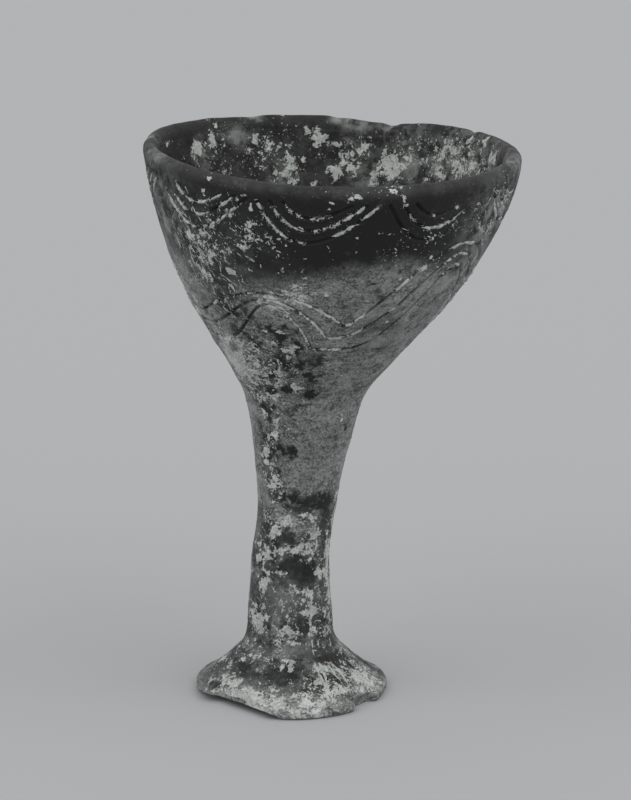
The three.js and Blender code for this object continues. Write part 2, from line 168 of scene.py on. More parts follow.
# Festoons under the lip and the triple zigzag band, as they are cut in the solids
FESTOON_COUNT = 9
FESTOON_START = -134.5
FESTOON_TOP = LIP_BASE - 1.5
FESTOON_SKEW = -0.2
FESTOON_ARCS = {"outer": (12.8, 18.5), "middle": (8.7, 14.3), "inner": (4.6, 10.1)}
BAND_START = -113
BAND_FALL = 33
BAND_TROUGH = LOWER_WALL_BASE + 11.8
BAND_LOW_PEAK = LOWER_WALL_BASE + 25
BAND_HIGH_PEAK = LOWER_WALL_BASE + 38.5
BAND_PEAK_SHARES = (0, 1, 0.45, 0.8, 0.3)
LOW_PEAK_SPACING = 2
HIGH_PEAK_SPACING = 3.5
TROUGH_SPACING = 4.3
TURN_LEAD = 6.2
BAND_LINES = {"upper": (1, 0.8), "middle": (0, 1.5), "lower": (-1, 3)}
GROOVE_WIDTH = 1.5
GROOVE_DEPTH = 0.9
STROKE_STEPS = 80

# What is left of the lime in the strokes at the front: shares of the stroke's length
KEPT_LIME = {
    "festoon_1_outer": ((0.05, 0.42), (0.5, 0.58), (0.6, 0.8), (0.83, 0.92)),
    "festoon_1_middle": ((0.1, 0.3), (0.42, 0.62), (0.78, 0.97)),
    "festoon_1_inner": ((0.0, 0.42), (0.44, 0.72), (0.74, 1.0)),
    "festoon_2_outer": ((0.0, 0.05), (0.06, 0.3), (0.33, 0.4), (0.62, 0.82), (0.86, 1.0)),
    "festoon_2_middle": ((0.04, 0.2), (0.24, 0.36), (0.46, 0.52), (0.56, 0.6), (0.62, 0.74), (0.76, 1.0)),
    "festoon_2_inner": ((0.04, 0.12), (0.2, 0.3), (0.38, 0.48), (0.5, 0.68)),
    "festoon_3_outer": ((0.44, 0.47), (0.52, 0.55)),
    "festoon_3_middle": ((0.1, 0.14), (0.27, 0.6), (0.64, 0.76)),
    "festoon_3_inner": ((0.3, 0.34), (0.7, 0.76)),
    "wave_1_upper": ((0.3, 0.98),),
    "wave_1_middle": ((0.02, 0.48), (0.5, 1.0)),
    "wave_1_lower": ((0.0, 0.42), (0.48, 1.0)),
    "wave_2_upper": ((0.0, 0.22), (0.62, 0.9)),
    "wave_2_middle": ((0.0, 0.2), (0.64, 0.76), (0.8, 1.0)),
    "wave_2_lower": ((0.0, 0.2), (0.66, 1.0)),
    "wave_1_upper_rise": ((0.02, 0.2), (0.4, 0.52), (0.84, 1.0)),
    "wave_1_middle_rise": ((0.0, 0.2), (0.24, 0.34), (0.52, 0.58), (0.88, 1.0)),
    "wave_1_lower_rise": ((0.02, 0.3), (0.36, 0.4), (0.92, 1.0)),
    "wave_5_upper_rise": ((0.3, 0.42), (0.8, 0.9)),
}

# Breaks in the lime of each stroke at the other sides, and half the least gap as a share of the stroke
LIME_BREAKS = 4
FESTOON_LIME_GAP = 0.05
BAND_LIME_GAP = 0.022

# Crusts of lime: angle, height (radius on the foot), half width and half height
LIME_PATCHES = {
    OUTSIDE: (
        (-135, 157.8, 3.8, 2.1), (-129, 176.6, 1.2, 1.2), (-132, 171.5, 1, 1.4), (-122, 165.8, 1, 1.2),
        (-116, 173.3, 1.8, 0.9), (-119, 171.3, 0.9, 0.9), (-115, 169.6, 1, 1.4),
        (-115, 164.2, 1.8, 0.8), (-119, 156.2, 1.6, 1.2), (-113, 159.5, 1.2, 0.8),
        (-127, 153.2, 1.4, 1), (-130, 154, 1.2, 1.4), (-133, 150, 1.3, 2.8), (-142, 155.2, 2.4, 2.8),
        (-126, 147, 2.4, 1.3), (-117, 148.8, 1.2, 0.8), (-109, 160.2, 1.3, 1.7),
        (-106, 160.5, 0.8, 0.6), (-108, 158, 1, 0.8), (-104, 158.5, 0.5, 0.7), (-101, 156.8, 0.6, 0.5),
        (-98, 154.5, 0.6, 0.5), (-82, 161.8, 0.9, 0.5), (-95, 168, 1.2, 0.7), (-83, 175.8, 2.8, 1.1),
        (-85, 174.6, 1.3, 1.3), (-91, 171.2, 0.9, 0.7), (-90, 173.5, 1.2, 0.7), (-71, 177, 3.2, 1.6),
        (-69, 175, 0.9, 1.6), (-68, 172.5, 0.8, 1), (-75, 163.5, 1.7, 0.6), (-72, 163, 1.4, 0.4),
        (-64, 167.2, 0.6, 0.7), (-58, 162.2, 0.6, 0.7), (-56, 160.5, 0.9, 0.9), (-58, 159, 0.7, 0.6),
        (-53, 160.2, 0.6, 0.4), (-56, 149.5, 1.8, 1.4), (-54, 153.5, 1.3, 0.9), (-37, 155.2, 1, 0.8),
        (-89, 154.5, 0.4, 0.4), (-90, 157.5, 0.4, 0.4), (-82, 157, 0.4, 0.3), (-97, 147.5, 1.5, 0.5),
        (-100, 141.3, 3.4, 4.6), (-94, 142.8, 1.2, 1.2), (-89, 142, 1.2, 0.7), (-78, 142.5, 1.2, 0.5),
        (-74, 139.8, 0.9, 0.6), (-63, 146.5, 0.7, 0.7), (-60, 130.5, 1.1, 1), (-111, 138.8, 6.4, 3.8),
        (-107, 136.6, 4, 2.4), (-115, 127, 1.8, 1.1), (-107, 127.5, 2, 1), (-141, 115.5, 6, 5),
        (-103, 119.8, 2.4, 3.6), (-140, 121, 4, 3), (-141, 109, 3, 4), (-121, 107.8, 2.4, 1.6),
        (-110, 111.8, 2.8, 1.8), (-98, 106.2, 2.2, 3.2), (-117, 102.2, 3, 2.4), (-51, 94.2, 1.3, 1.4),
        (-120, 93.2, 1.8, 1.8), (-124, 88.8, 2.8, 3.6), (-138, 81.2, 3.4, 3.6), (-122, 71, 2.8, 4.6),
        (-107, 59.4, 4.4, 2.4), (-124, 54.6, 3, 3.6), (-57, 54, 2.6, 6), (-137, 47.5, 4.4, 4.2),
        (-66, 60.8, 2.6, 1.8), (-81, 61.8, 1.4, 1.2), (-78, 50.5, 2.4, 2.8), (-29, 51.8, 1.6, 3),
        (-106, 49, 2.4, 2.8), (-40, 41.6, 3.4, 3.2), (-130, 38, 2.4, 6.5), (-65, 34, 4.4, 3.4),
        (-59, 28.6, 3.2, 3), (-87, 21.5, 3.6, 4), (-140, 26, 4.6, 6.5),
    ),
    INSIDE: (
        (145, 169.4, 4, 3.2), (137, 171.8, 3.4, 3.4), (134, 175.7, 1.7, 2.6), (112, 169.4, 1.5, 1.5),
        (107, 159.5, 5, 4), (105, 164, 2.4, 3.6), (96, 171.1, 3.6, 3.6), (98, 174.5, 1.6, 2),
        (93, 172, 2.2, 1.5), (118, 170.5, 1.5, 2.4), (100, 164.1, 1.1, 1.6), (95, 156.7, 1.5, 2.2),
        (88, 160, 2.6, 3.8), (86, 163.2, 1.4, 3.8), (82, 162.4, 3.4, 5), (78, 169.1, 2.8, 3.2),
        (88, 169.1, 1.9, 1.3), (73, 159.2, 2, 3), (68, 163.2, 5.5, 7), (46, 163.2, 5, 3),
        (37, 165.2, 4.4, 3), (35, 175.7, 1.8, 2.4), (26, 175.6, 2.2, 1.6), (18, 172.8, 3.4, 3),
        (50, 170.1, 1.6, 1.3), (48, 168.1, 2.2, 2), (165, 174, 4, 1.6), (200, 160, 4, 3),
        (250, 166, 5, 3), (290, 158, 4, 4), (330, 168, 3, 4),
    ),
    FOOT: (
        (-98, 28, 8, 3), (-134, 24.2, 4, 3), (-146, 18.4, 2.4, 1.4), (-138, 16.4, 2.8, 1),
        (-26, 23.2, 5, 1.8), (-8, 24, 3, 1.1), (-54, 23.7, 4, 3), (-20, 27.3, 6, 2.4),
        (-91, 17, 3.6, 2.6), (-72, 23.5, 3, 1.4), (60, 22, 6, 4), (130, 25, 5, 3), (170, 21, 4, 3),
    ),
}

# Smoke stains on the grey clay: angle, height (radius on the foot), half width and half height
SOOT_PATCHES = {
    OUTSIDE: (
        (-96, 116, 3.6, 5), (-91, 110.5, 3, 4), (-87, 104, 2.6, 4), (-91, 98.8, 3.2, 1.8),
        (-105, 105, 3, 3), (-116, 83.5, 5.4, 4), (-134, 98, 2.5, 2), (-112, 69.8, 2, 4.4),
        (-91, 67.8, 4, 2.4), (-52, 65.5, 6.4, 4.4), (-110, 66, 3, 3), (-96, 54, 4.4, 3),
        (-126, 52, 3.4, 2), (-76, 53, 1.6, 2), (-94, 44.5, 3.4, 3.4), (-70, 40.5, 7, 6.8),
        (-140, 41.5, 3, 6), (-68, 24, 3, 4), (-74, 145.5, 2.2, 1), (-58, 120, 2.6, 1.2),
        (-68, 139.8, 2.2, 2.2), (-42, 147.5, 5, 2.4), (-108, 126, 8, 5), (-100, 120, 6, 6),
        (-128, 132, 5, 3), (-37, 89.8, 1.6, 2), (-60, 71, 0.8, 0.8), (-130, 145, 6, 5),
        (-132, 73, 2.4, 2.2), (-80, 66, 3, 1.6),
    ),
    INSIDE: (),
    FOOT: ((-104, 20, 7, 3.6), (-153, 26.7, 3, 3), (-129, 20.5, 6, 2.6), (-45, 17, 5, 2.6), (-85, 18, 4, 2)),
}

# The sides that the front doesn't show: their angles, how large their patches of lime and soot are at the
# stem and at the lip, how that varies, how wide they are for their height, and how many there are
BEHIND = (-12, 192)
BEHIND_SIZES = (4.6, 2)
BEHIND_SHARES = (0.35, 1)
BEHIND_WIDTHS = (0.7, 1.4)
LIME_BEHIND = 70
SOOT_BEHIND = 30

# Seeds of what is left to chance
NOISE_SEED = 11
STROKE_SEED = 5
LIME_BEHIND_SEED = 31
SOOT_BEHIND_SEED = 32
HAIRLINE_SEED = 17
REMAINS_SEED = 99
SCRATCH_SEED = 98

# Broad weathering: angle, height (radius on the foot), half angle, half height, and what it adds of lime and
# of soot. The lime of one zone is a painted rim light, as noted below
WEATHER = {
    OUTSIDE: (
        (-150, 112, 16, 14, 0.5, 0.1), (-126, 114, 18, 16, 0.3, 0.28), (-130, 138, 14, 11, 0.1, 0.45),
        (-78, 50, 16, 7, 0.2, 0), (-138, 150, 20, 15, 0.34, 0.3), (-126, 166, 14, 8, 0.24, 0),
        (-119, 155, 13, 11, 0.1, 0), (-108, 160, 9, 6, 0.1, 0), (-130, 84, 24, 24, 0.42, 0.4),
        # The lime at (-20, 45) pales the stem's right edge: a painted rim light
        (-90, 44, 180, 21, 0.32, 0.8), (-100, 20, 180, 9, 0.3, 0.56), (-20, 45, 12, 20, 0.26, 0),
        (-95, 58, 34, 4.5, 0.14, -0.25), (-100, 31, 60, 5, 0.08, -0.12),
        (-102, 116, 18, 16, 0.34, 0.38), (-50, 163, 20, 9, 0.2, 0), (-26, 165, 14, 13, 0.34, 0),
        (-88, 176, 26, 3, 0.16, 0), (-70, 146, 26, 9, 0.12, 0.24), (-60, 128, 26, 10, 0.16, 0.3),
        (-78, 108, 14, 12, 0.2, 0.28), (-70, 66, 40, 5, 0.1, 0.36), (60, 70, 70, 40, 0.36, 0.4),
        (120, 130, 50, 22, 0.34, 0.3), (20, 120, 30, 14, 0.3, 0.25), (150, 165, 40, 12, 0.32, 0),
        (60, 165, 40, 9, 0.26, 0),
    ),
    INSIDE: (
        (60, 167, 24, 10, 0.36, 0), (125, 168, 30, 11, 0.28, 0), (95, 165, 24, 13, 0.1, 0),
        (30, 168, 16, 10, 0.38, 0), (230, 150, 70, 30, 0.28, 0), (0, 120, 180, 14, 0.28, 0),
    ),
    FOOT: (
        (-92, 29, 38, 4.5, 0.6, 0), (-30, 26.5, 32, 4.5, 0.38, 0.3), (-110, 18, 90, 6, 0.3, 0.66),
        (90, 23, 110, 12, 0.38, 0.5), (-60, 20, 40, 5, 0.22, 0.75), (-150, 27, 22, 4, 0.34, 0.5),
        (-126, 26.8, 15, 2.8, 0.3, -0.4),
    ),
}

# Thin grey film of lime, rubbed over the clay: angle, height (radius on the foot), half angle, half height
# and strength. Two zones are partly painted light, as noted below
FILM = {
    OUTSIDE: (
        (-158, 158, 15, 22, 1), (-27, 160, 15, 16, 1), (-150, 125, 14, 14, 1), (-119, 177, 4, 2, 0.5),
        (-88, 177, 4, 2, 0.4), (-168, 75, 20, 45, 1), (-8, 60, 16, 45, 1), (-58, 130, 22, 12, 0.9),
        (-45, 140, 18, 8, 0.9), (-112, 139, 12, 3, 1), (-157, 177.5, 5, 2.5, 1), (-12, 174, 12, 6, 1),
        # The wide film along the lip's top at (-90, 177) is partly a painted sheen
        (-30, 150, 9, 14, 1), (-90, 177, 70, 2.5, 0.16), (-100, 38, 180, 22, 0.5),
        # The film at (-24, 44) pales the stem's right edge, partly as a painted rim light
        (-75, 47, 30, 7, 0.3), (-24, 44, 12, 18, 1), (-96, 37, 13, 7, 0.95), (-107, 48.7, 10, 4, 0.85),
        (-111, 26, 14, 6, 0.85), (-140, 68, 12, 8, 0.85), (-146, 22, 14, 7, 0.95),
        (-132, 46, 25, 12, 0.4), (-100, 20, 60, 7, 0.75), (-136, 148, 22, 16, 0.4),
        (90, 60, 90, 40, 0.5), (100, 140, 60, 20, 0.5),
    ),
    INSIDE: (
        (62, 172, 10, 5, 1), (57, 165, 9, 7, 1), (45, 171, 9, 6, 1), (84, 170, 4, 3, 1),
        (80, 176, 4, 4, 1), (126, 172, 7, 4, 1), (142, 168, 6, 5, 1), (107, 160, 7, 5, 1),
        (20, 170, 12, 8, 1), (84, 176.5, 3, 3, 1), (72, 160, 10, 7, 1), (71, 177, 3, 2.5, 1),
        (35, 176.5, 4, 3, 1), (-5, 176, 12, 4, 1), (40, 168, 30, 11, 0.95), (125, 168, 36, 11, 0.2),
        (90, 165, 20, 12, 0.2), (240, 150, 60, 30, 0.4),
    ),
    FOOT: (
        (-62, 30, 20, 4, 1), (-40, 27, 10, 3, 1), (-105, 28, 24, 5, 1), (-130, 29.5, 26, 3, 1),
        (-105, 19, 60, 6, 0.75), (-30, 26, 30, 5, 0.8), (-160, 26, 20, 6, 0.8), (80, 24, 100, 8, 0.6),
        (-126, 26.5, 17, 3.4, 1),
    ),
}

# Where the top of the stem is a little smoked: angle, height, half angle, half height and strength
STEM_SMOKE = (-72, 82, 50, 22, 0.34)

# The edge of the smoke, where grey clay turns black: its height, how far it fades down and up, how far
# clouds move it, where it sags or rises (angle, half angle, rise), and how it rises behind (angle, rise)
SMOKE_HEIGHT = 149
SMOKE_FADE = (-8, 7)
SMOKE_DRIFT = 1.5
SMOKE_WAVES = ((-126, 24, -6), (-66, 15, 4))
SMOKE_BEHIND = (60, 6)

# How smoked the inside is at its floor, what is added up to where it is black, how much smoke is taken off
# the lip's top, partly as rubbed wear and partly as painted sheen, and the height from which all of it is
# taken off
INSIDE_SMOKE = (0.6, 0.4)
INSIDE_BLACK = LOWER_WALL_BASE + 12
LIP_WEAR_AND_SHEEN = 0.14
LIP_WEAR_AND_SHEEN_FROM = LIP_BASE + 1.5

# Cover on the clay: its level, and what clouds or the depth inside a patch add to it
THIN_LIME, THIN_SOOT = (0.05, 0.2), (0.16, -0.35)
UNDER_LIME, UNDER_SOOT = (0.3, 0.3), (0.35, -0.4)
CRUST_COVER, STAIN_COVER = (0.33, 0.62), (0.35, 0.65)

# How much of the thin lime and film is missing on a stain, and how far patches are drawn out on the foot
STAIN_CLEARS = 0.72
FOOT_STRETCH = 1.3

# What counts as out of reach of every patch, and as a distance out of reach of every stroke
NO_PATCH = -1.5
NO_STROKE = 1e3

# Unevenness of the skin: size of its lumps, seed and layers of finer lumps on them
CLOUDS = (9, 3)
GRAIN = (2.4, 6)
FINE_GRAIN = (1.1, 9, 2)
WANDERS = ((3, 21), (3, 24))

# Dents that hands left in the clay: depth, size and seed
HAND_DENTS = ((0.34, 17, 1), (0.14, 6, 2))

# Pits: their depth, the fine grain between which they open, their cover on sound skin and what wear adds to
# it. Then the thickness of a crust, and how much a stain counts as wear
PIT_DEPTH = 0.3
PIT_GRAIN = (0.3, 0.7)
PIT_COVER = (0.25, 0.75)
CRUST_HEIGHT = 0.16
STAIN_WEAR = 0.6

# The strokes: how far and over what angle they are felt, how their edges waver, the place, width and height
# of the burr beside them, how even their floor is, and the lime smeared beside what is left in them
STROKE_REACH = GROOVE_WIDTH * 1.6
STROKE_REACH_ANGLE = 4
STROKE_WAVER = 0.14
BURR_PLACE = GROOVE_WIDTH * 0.65
BURR_WIDTH = 0.4
BURR_HEIGHT = 0.14
GROOVE_FLOOR = (0.85, 0.4)
SMEAR_WIDTH = 1.1
SMEAR = 0.5
SMEAR_GRAIN = 0.15

# Scratches with lime in them: half width, then the (angle, height) places that they run through
SCRATCHES = (
    (0.36, (-53, 57), (-50, 48)), (0.55, (-60, 30), (-61, 21.5)), (0.26, (-60, 20), (-62, 14.5)),
    (0.42, (-64, 13.6), (-65, 11.5), (-63, 6.5)), (0.36, (-60, 13), (-60, 10.4), (-61, 8.3)),
    (0.36, (-45, 12.1), (-44, 8.4), (-45, 6.9)), (0.32, (-50, 12.4), (-51, 9.5), (-48, 7.4)),
    (0.15, (-140, 154.2), (-137, 150), (-134, 146.8)), (0.14, (-144, 153), (-144, 148.5), (-142, 145.2)),
    (0.14, (-129, 150.2), (-130, 144.5)), (0.12, (-148, 163.2), (-151, 158.8), (-152, 156.2)),
)

# Hairline scratches by chance where hands rubbed the bowl: angle, height, half angle, half height, how many
# and how long, as a share of the longest
HAIRLINES = (
    (-141, 153, 13, 16, 60, 1), (-130, 140, 8, 6, 20, 1), (-30, 158, 10, 12, 20, 1),
    (150, 150, 40, 20, 50, 1), (50, 155, 40, 16, 36, 1), (-116, 158.5, 15, 7, 50, 0.32),
    (-62, 161, 14, 8, 16, 0.32),
)

# Hairlines: mean and spread of their turn, least and most fall and half width, and the height where they end
HAIRLINE_TURN = (2.4, 2.4)
HAIRLINE_FALL = (1, 5)
HAIRLINE_HALF = (0.08, 0.16)
HAIRLINE_TOP = LIP_BASE - 2

# Scratches: points along each, how they waver (distance, size), their girth and what lumps add to it, those
# lumps (size, seed), and how steeply and roundly the ends taper
SCRATCH_STEPS = 24
SCRATCH_WAVER = (0.4, 3)
SCRATCH_GIRTH = (1.1, 1.2)
SCRATCH_LUMP = (1.5, 7)
SCRATCH_TAPER = (5, 0.5)

# Strands of lime: how deep they lie in their strokes, half their width, how full the strokes of each kind
# are, their unevenness (share, size, seed), what wear has taken, how they waver (distance, size, seed), the
# girth at their ends and what it gains inwards, how steeply and roundly the ends taper, and the points for
# each point of a stroke, with the least
LIME_SUNK = 0.2
STRAND_RADIUS = 0.36
STRAND_GIRTH = {"festoon": 1.45, "wave": 2.1}
STRAND_UNEVEN = ((1.3, 2.2, 0), (0.9, 0.8, 80))
STRAND_WEAR = 0.38
STRAND_WAVER = (0.42, 2.6, 40)
STRAND_ENDS = (0.1, 0.9)
STRAND_TAPER = (4, 0.6)
STRAND_STEPS = 1.6
LEAST_STEPS = 6

# The girth under which a line of lime breaks, its least and most girth, and the size of its lumps, with
# their height on strands and on scratches
BREAKING_GIRTH = 0.1
GIRTHS = (0.12, 1.6)
LUMP_SIZE = 1
STRAND_LUMPS = 0.9
SCRATCH_LUMPS = 0.25

# Spurs squeezed out beside a strand: spacing for each kind of stroke, reach, girth at the root and at the
# tip, and points along each
SPUR_SPACING = {"festoon": 1, "wave": 4}
SPUR_REACH = (0.3, 1.8)
SPUR_GIRTH = (0.2, 0.6)
SPUR_TIP = 0.13
SPUR_STEPS = 5

# Crumbs of lime: how many on a square millimetre where it lies thickest, their size, and the cover at which
# they begin and are thickest
CRUMB_DENSITY = 0.07
CRUMB_RADIUS = 0.26
CRUMB_COVER = (0.22, 0.7)

# Colour grain of the clay and of what lies on it: size of its lumps, detail, roughness and distortion
CLAY_GRAIN = {
    "cloud": (7, 5, 0.6, 0), "fleck": (3, 6, 0.64, 0.7), "soil": (3.6, 7, 0.7, 0.4),
    "grit": (0.7, 3, 0.6, 0), "pit": (1.1, 3, 0.6, 0), "speck": (0.8, 2, 0.5, 0),
    "vein": (3.2, 4, 0.6, 0.5), "wipe": (1.2, 4, 0.6, 0),
}

# Wiping marks run round the clay, so their grain is drawn out sideways
WIPE_STRETCH = (0.25, 0.25, 1)

# The coats on the clay, from 0 to 1 at each point of a piece. Besides what their names say, smoke carries
# the painted shade in the foot's gap, smoke and film a painted sheen on the lip's top, and lime and film a
# painted rim light at the stem's right edge
COATS = ("smoke", "stain", "lime", "film", "carve")

# The stage: half the floor in metres, how far it lies under the foot, the light of the sky, and the
# strength, spread, tilt and turn of each sun
FLOOR_HALF = 6
FLOOR_DROP = 0.05
SKY_LIGHT = 0.74
SUNS = {"right": (0.7, 60, 46, 62), "left": (0.6, 60, 50, -62)}

# The photograph's viewpoint: its lens on a picture of this height, its place, and how far it looks down
PICTURE_HEIGHT = 36
LENS = 154.8
VIEWPOINT = (-5.2, -1065, 371.4)
LOOKING_DOWN = 14.5


def ramp(value, start, end):
    return np.clip((value - start) / (end - start), 0, 1)


def smooth(value, start, end):
    share = ramp(value, start, end)
    return share * share * (3 - 2 * share)


def outer_radius(height):
    height = np.asarray(height, float)
    radius = np.zeros_like(height)
    for index, (below, above) in enumerate(zip(STATIONS, STATIONS[1:])):
        low, low_radius, _, leaving = below
        high, high_radius, arriving, _ = above
        length = high - low
        share = ramp(height, low, high)
        left = 1 - share
        curve = low_radius + (high_radius - low_radius) * share * share * (3 - 2 * share)
        curve = curve + leaving * length * share * left ** 2 - arriving * length * share * share * left
        radius = np.where((height >= low) | (index == 0), curve, radius)
    return radius


def outer_slope(height):
    step = 0.5
    return (outer_radius(height + step) - outer_radius(height - step)) / (2 * step)


def inner_radius(height):
    return outer_radius(height) - WALL * np.hypot(1, outer_slope(height))


# Steady gradient noise, the same on every run: the shift between seeds, and what scales it to about -1 to 1
SEED_SHIFT = 31.7
RIPPLE_GAIN = 1.7
MOTTLE_SPAN = 1.4
DRAWS = np.random.default_rng(NOISE_SEED)
SHUFFLE = DRAWS.permutation(256)
LEANS = DRAWS.normal(size=(256, 3))
LEANS /= np.linalg.norm(LEANS, axis=1)[:, None]


def ripple(points, size, seed):
    """Smooth noise from about -1 to 1, with lumps of the given size."""
    place = points / size + seed * SEED_SHIFT
    cell = np.floor(place).astype(int)
    inside = place - cell
    ease = inside ** 3 * (inside * (inside * 6 - 15) + 10)
    total = np.zeros(len(points))
    for corner in itertools.product((0, 1), repeat=3):
        index = np.zeros(len(points), int)
        share = np.ones(len(points))
        for axis in range(3):
            index = SHUFFLE[(index + cell[:, axis] + corner[axis]) & 255]
            share *= ease[:, axis] if corner[axis] else 1 - ease[:, axis]
        total += share * np.einsum("ij,ij->i", LEANS[index], inside - corner)
    return total * RIPPLE_GAIN


def mottle(points, size, seed, layers=3):
    """Ripples of the given size with finer ones on them."""
    parts = (ripple(points, size / 2 ** layer, seed + layer) / 2 ** layer for layer in range(layers))
    return sum(parts) / MOTTLE_SPAN


def handmade(points):
    """Moves points of the turned form to their place on the leaning, uneven goblet."""
    x, y, z = points.T
    radius = np.maximum(np.hypot(x, y), 1e-6)
    angle = np.arctan2(y, x)
    tongue = ((1 + np.cos(angle - np.radians(TONGUE_ANGLE))) / 2) ** TONGUE_SHARPNESS
    on_foot = ramp(radius, STEM_BASE_RADIUS, FOOT_RADIUS) * (1 - ramp(z, HOLLOW_TOP, STEM_LOW))
    stretch = 1 + TONGUE_REACH * tongue * on_foot / radius
    across, along = x / RIM_RADIUS, y / RIM_RADIUS
    from_dent = (angle - np.radians(LIP_DENT_ANGLE)) / np.radians(LIP_DENT_HALF_ANGLE)
    dent = LIP_DENT * np.exp(-from_dent ** 2) * ramp(z, UPPER_WALL_BASE, LIP_TOP)
    lift = LIP_SADDLE * (across ** 2 - along ** 2) + LIP_NOD * along - LIP_TILT * across - dent
    swing = ramp(z, BOWL_SEAT, LIP_TOP)
    lean = KNEE_LEAN * smooth(z, *KNEE) + STEM_LEAN * ramp(z, KNEE[1], BOWL_SEAT)
    lean += BOWL_LEAN * np.sin(swing * np.pi / 2) ** BOWL_LEAN_ONSET
    return np.column_stack([x * stretch + lean + AXIS_X, y * stretch, z + lift * swing])


def chance_lime(draws, gap):
    """Shares of a stroke where lime is left by chance, on the sides that the front doesn't show."""
    breaks = np.sort(draws.uniform(0, 1, LIME_BREAKS))
    edges = [0, *breaks, 1]
    return [(start + gap, end - gap) for start, end in zip(edges, edges[1:]) if end - start > 3 * gap]


def patches_behind(seed, count):
    """Patches by chance on the sides that the front doesn't show, smaller towards the lip."""
    draws = np.random.default_rng(seed)
    for _ in range(count):
        height = draws.uniform(STEM_LOW, LIP_BASE)
        size = np.interp(height, (STEM_LOW, LIP_BASE), BEHIND_SIZES) * draws.uniform(*BEHIND_SHARES)
        yield draws.uniform(*BEHIND), height, size * draws.uniform(*BEHIND_WIDTHS), size


def crest(wave, up):
    """The height of one line of the band at the peak of a wave."""
    share = BAND_PEAK_SHARES[wave % len(BAND_PEAK_SHARES)]
    spacing = LOW_PEAK_SPACING + (HIGH_PEAK_SPACING - LOW_PEAK_SPACING) * share
    return BAND_LOW_PEAK + (BAND_HIGH_PEAK - BAND_LOW_PEAK) * share + spacing * up


def strokes():
    """Every incised stroke: name, course of (angle, height) points, and the shares that hold lime."""
    share = np.linspace(0, 1, STROKE_STEPS)
    draws = np.random.default_rng(STROKE_SEED)
    for index in range(FESTOON_COUNT):
        centre = FESTOON_START + 360 / FESTOON_COUNT * index
        for line, (drop, half_span) in FESTOON_ARCS.items():
            name = f"festoon_{index + 1}_{line}"
            across = 2 * share - 1
            slack = (across - FESTOON_SKEW) / (1 - FESTOON_SKEW * across)
            course = np.column_stack([centre + across * half_span, FESTOON_TOP - drop * (1 - slack ** 2)])
            yield name, course, KEPT_LIME.get(name) or chance_lime(draws, FESTOON_LIME_GAP)
    span = 360 / len(BAND_PEAK_SHARES)
    for index in range(len(BAND_PEAK_SHARES)):
        peak = BAND_START + span * index
        for line, (up, rise) in BAND_LINES.items():
            name = f"wave_{index + 1}_{line}"
            turn = peak + BAND_FALL - TURN_LEAD * (1 - up)
            top, low = crest(index, up), BAND_TROUGH + TROUGH_SPACING * up
            fall = np.column_stack([peak + (turn - peak) * share, top + (low - top) * share ** 2])
            yield name, fall, KEPT_LIME.get(name) or chance_lime(draws, BAND_LIME_GAP)
            climb = low + (crest(index + 1, up) - low) * smooth(share ** rise, 0, 1)
            rising = np.column_stack([turn + (peak + span - turn) * share, climb])
            yield name + "_rise", rising, KEPT_LIME.get(name + "_rise", ())


STROKES = list(strokes())
LIME_PATCHES[OUTSIDE] += tuple(patches_behind(LIME_BEHIND_SEED, LIME_BEHIND))
SOOT_PATCHES[OUTSIDE] += tuple(patches_behind(SOOT_BEHIND_SEED, SOOT_BEHIND))


def turn_between(angle, other):
    return (angle - other + 180) % 360 - 180


def stroke_distance(angle, height, course):
    """Distance on the skin from each point to a stroke, far away for points out of its reach."""
    first_angle, last_angle = course[:, 0].min(), course[:, 0].max()
    middle = (first_angle + last_angle) / 2
    near = np.abs(turn_between(angle, middle)) < (last_angle - first_angle) / 2 + STROKE_REACH_ANGLE
    near &= (height > course[:, 1].min() - STROKE_REACH) & (height < course[:, 1].max() + STROKE_REACH)
    distance = np.full(angle.shape, NO_STROKE)
    if near.any():
        radius = outer_radius(height[near])
        slant = np.hypot(1, outer_slope(height[near]))
        aside = np.radians(turn_between(angle[near], middle)) * radius
        flat = np.column_stack([aside, height[near] * slant])
        best = np.full(len(flat), NO_STROKE)
        for start, end in zip(course, course[1:]):
            first = np.column_stack([np.radians(start[0] - middle) * radius, start[1] * slant])
            along = np.column_stack([np.radians(end[0] - start[0]) * radius, (end[1] - start[1]) * slant])
            share = np.einsum("ij,ij->i", flat - first, along) / np.einsum("ij,ij->i", along, along)
            gap = flat - first - np.clip(share, 0, 1)[:, None] * along
            best = np.minimum(best, np.hypot(*gap.T))
        distance[near] = best
    return distance


def patch_field(angle, place, radius, stretch, wander, patches):
    """How deep points lie inside the nearest uneven patch: 1 at its middle, 0 at its edge, less outside."""
    field = np.full(angle.shape, NO_PATCH)
    for patch_angle, patch_place, half_width, half_height in patches:
        across = np.radians(turn_between(angle, patch_angle)) * radius / half_width
        up = (place - patch_place) * stretch / half_height
        field = np.maximum(field, 1 - np.hypot(across + wander[:, 0], up + wander[:, 1]))
    return field


def broad(angle, place, zone):
    """A soft zone: 1 at its middle, fading over its half angle and half height."""
    zone_angle, zone_place, half_angle, half_height = zone[:4]
    turn = turn_between(angle, zone_angle) / half_angle
    return np.exp(-(turn ** 2 + ((place - zone_place) / half_height) ** 2))


def cover(amounts, field):
    """A level of its own and what a field adds to it."""
    level, more = amounts
    return level + more * field


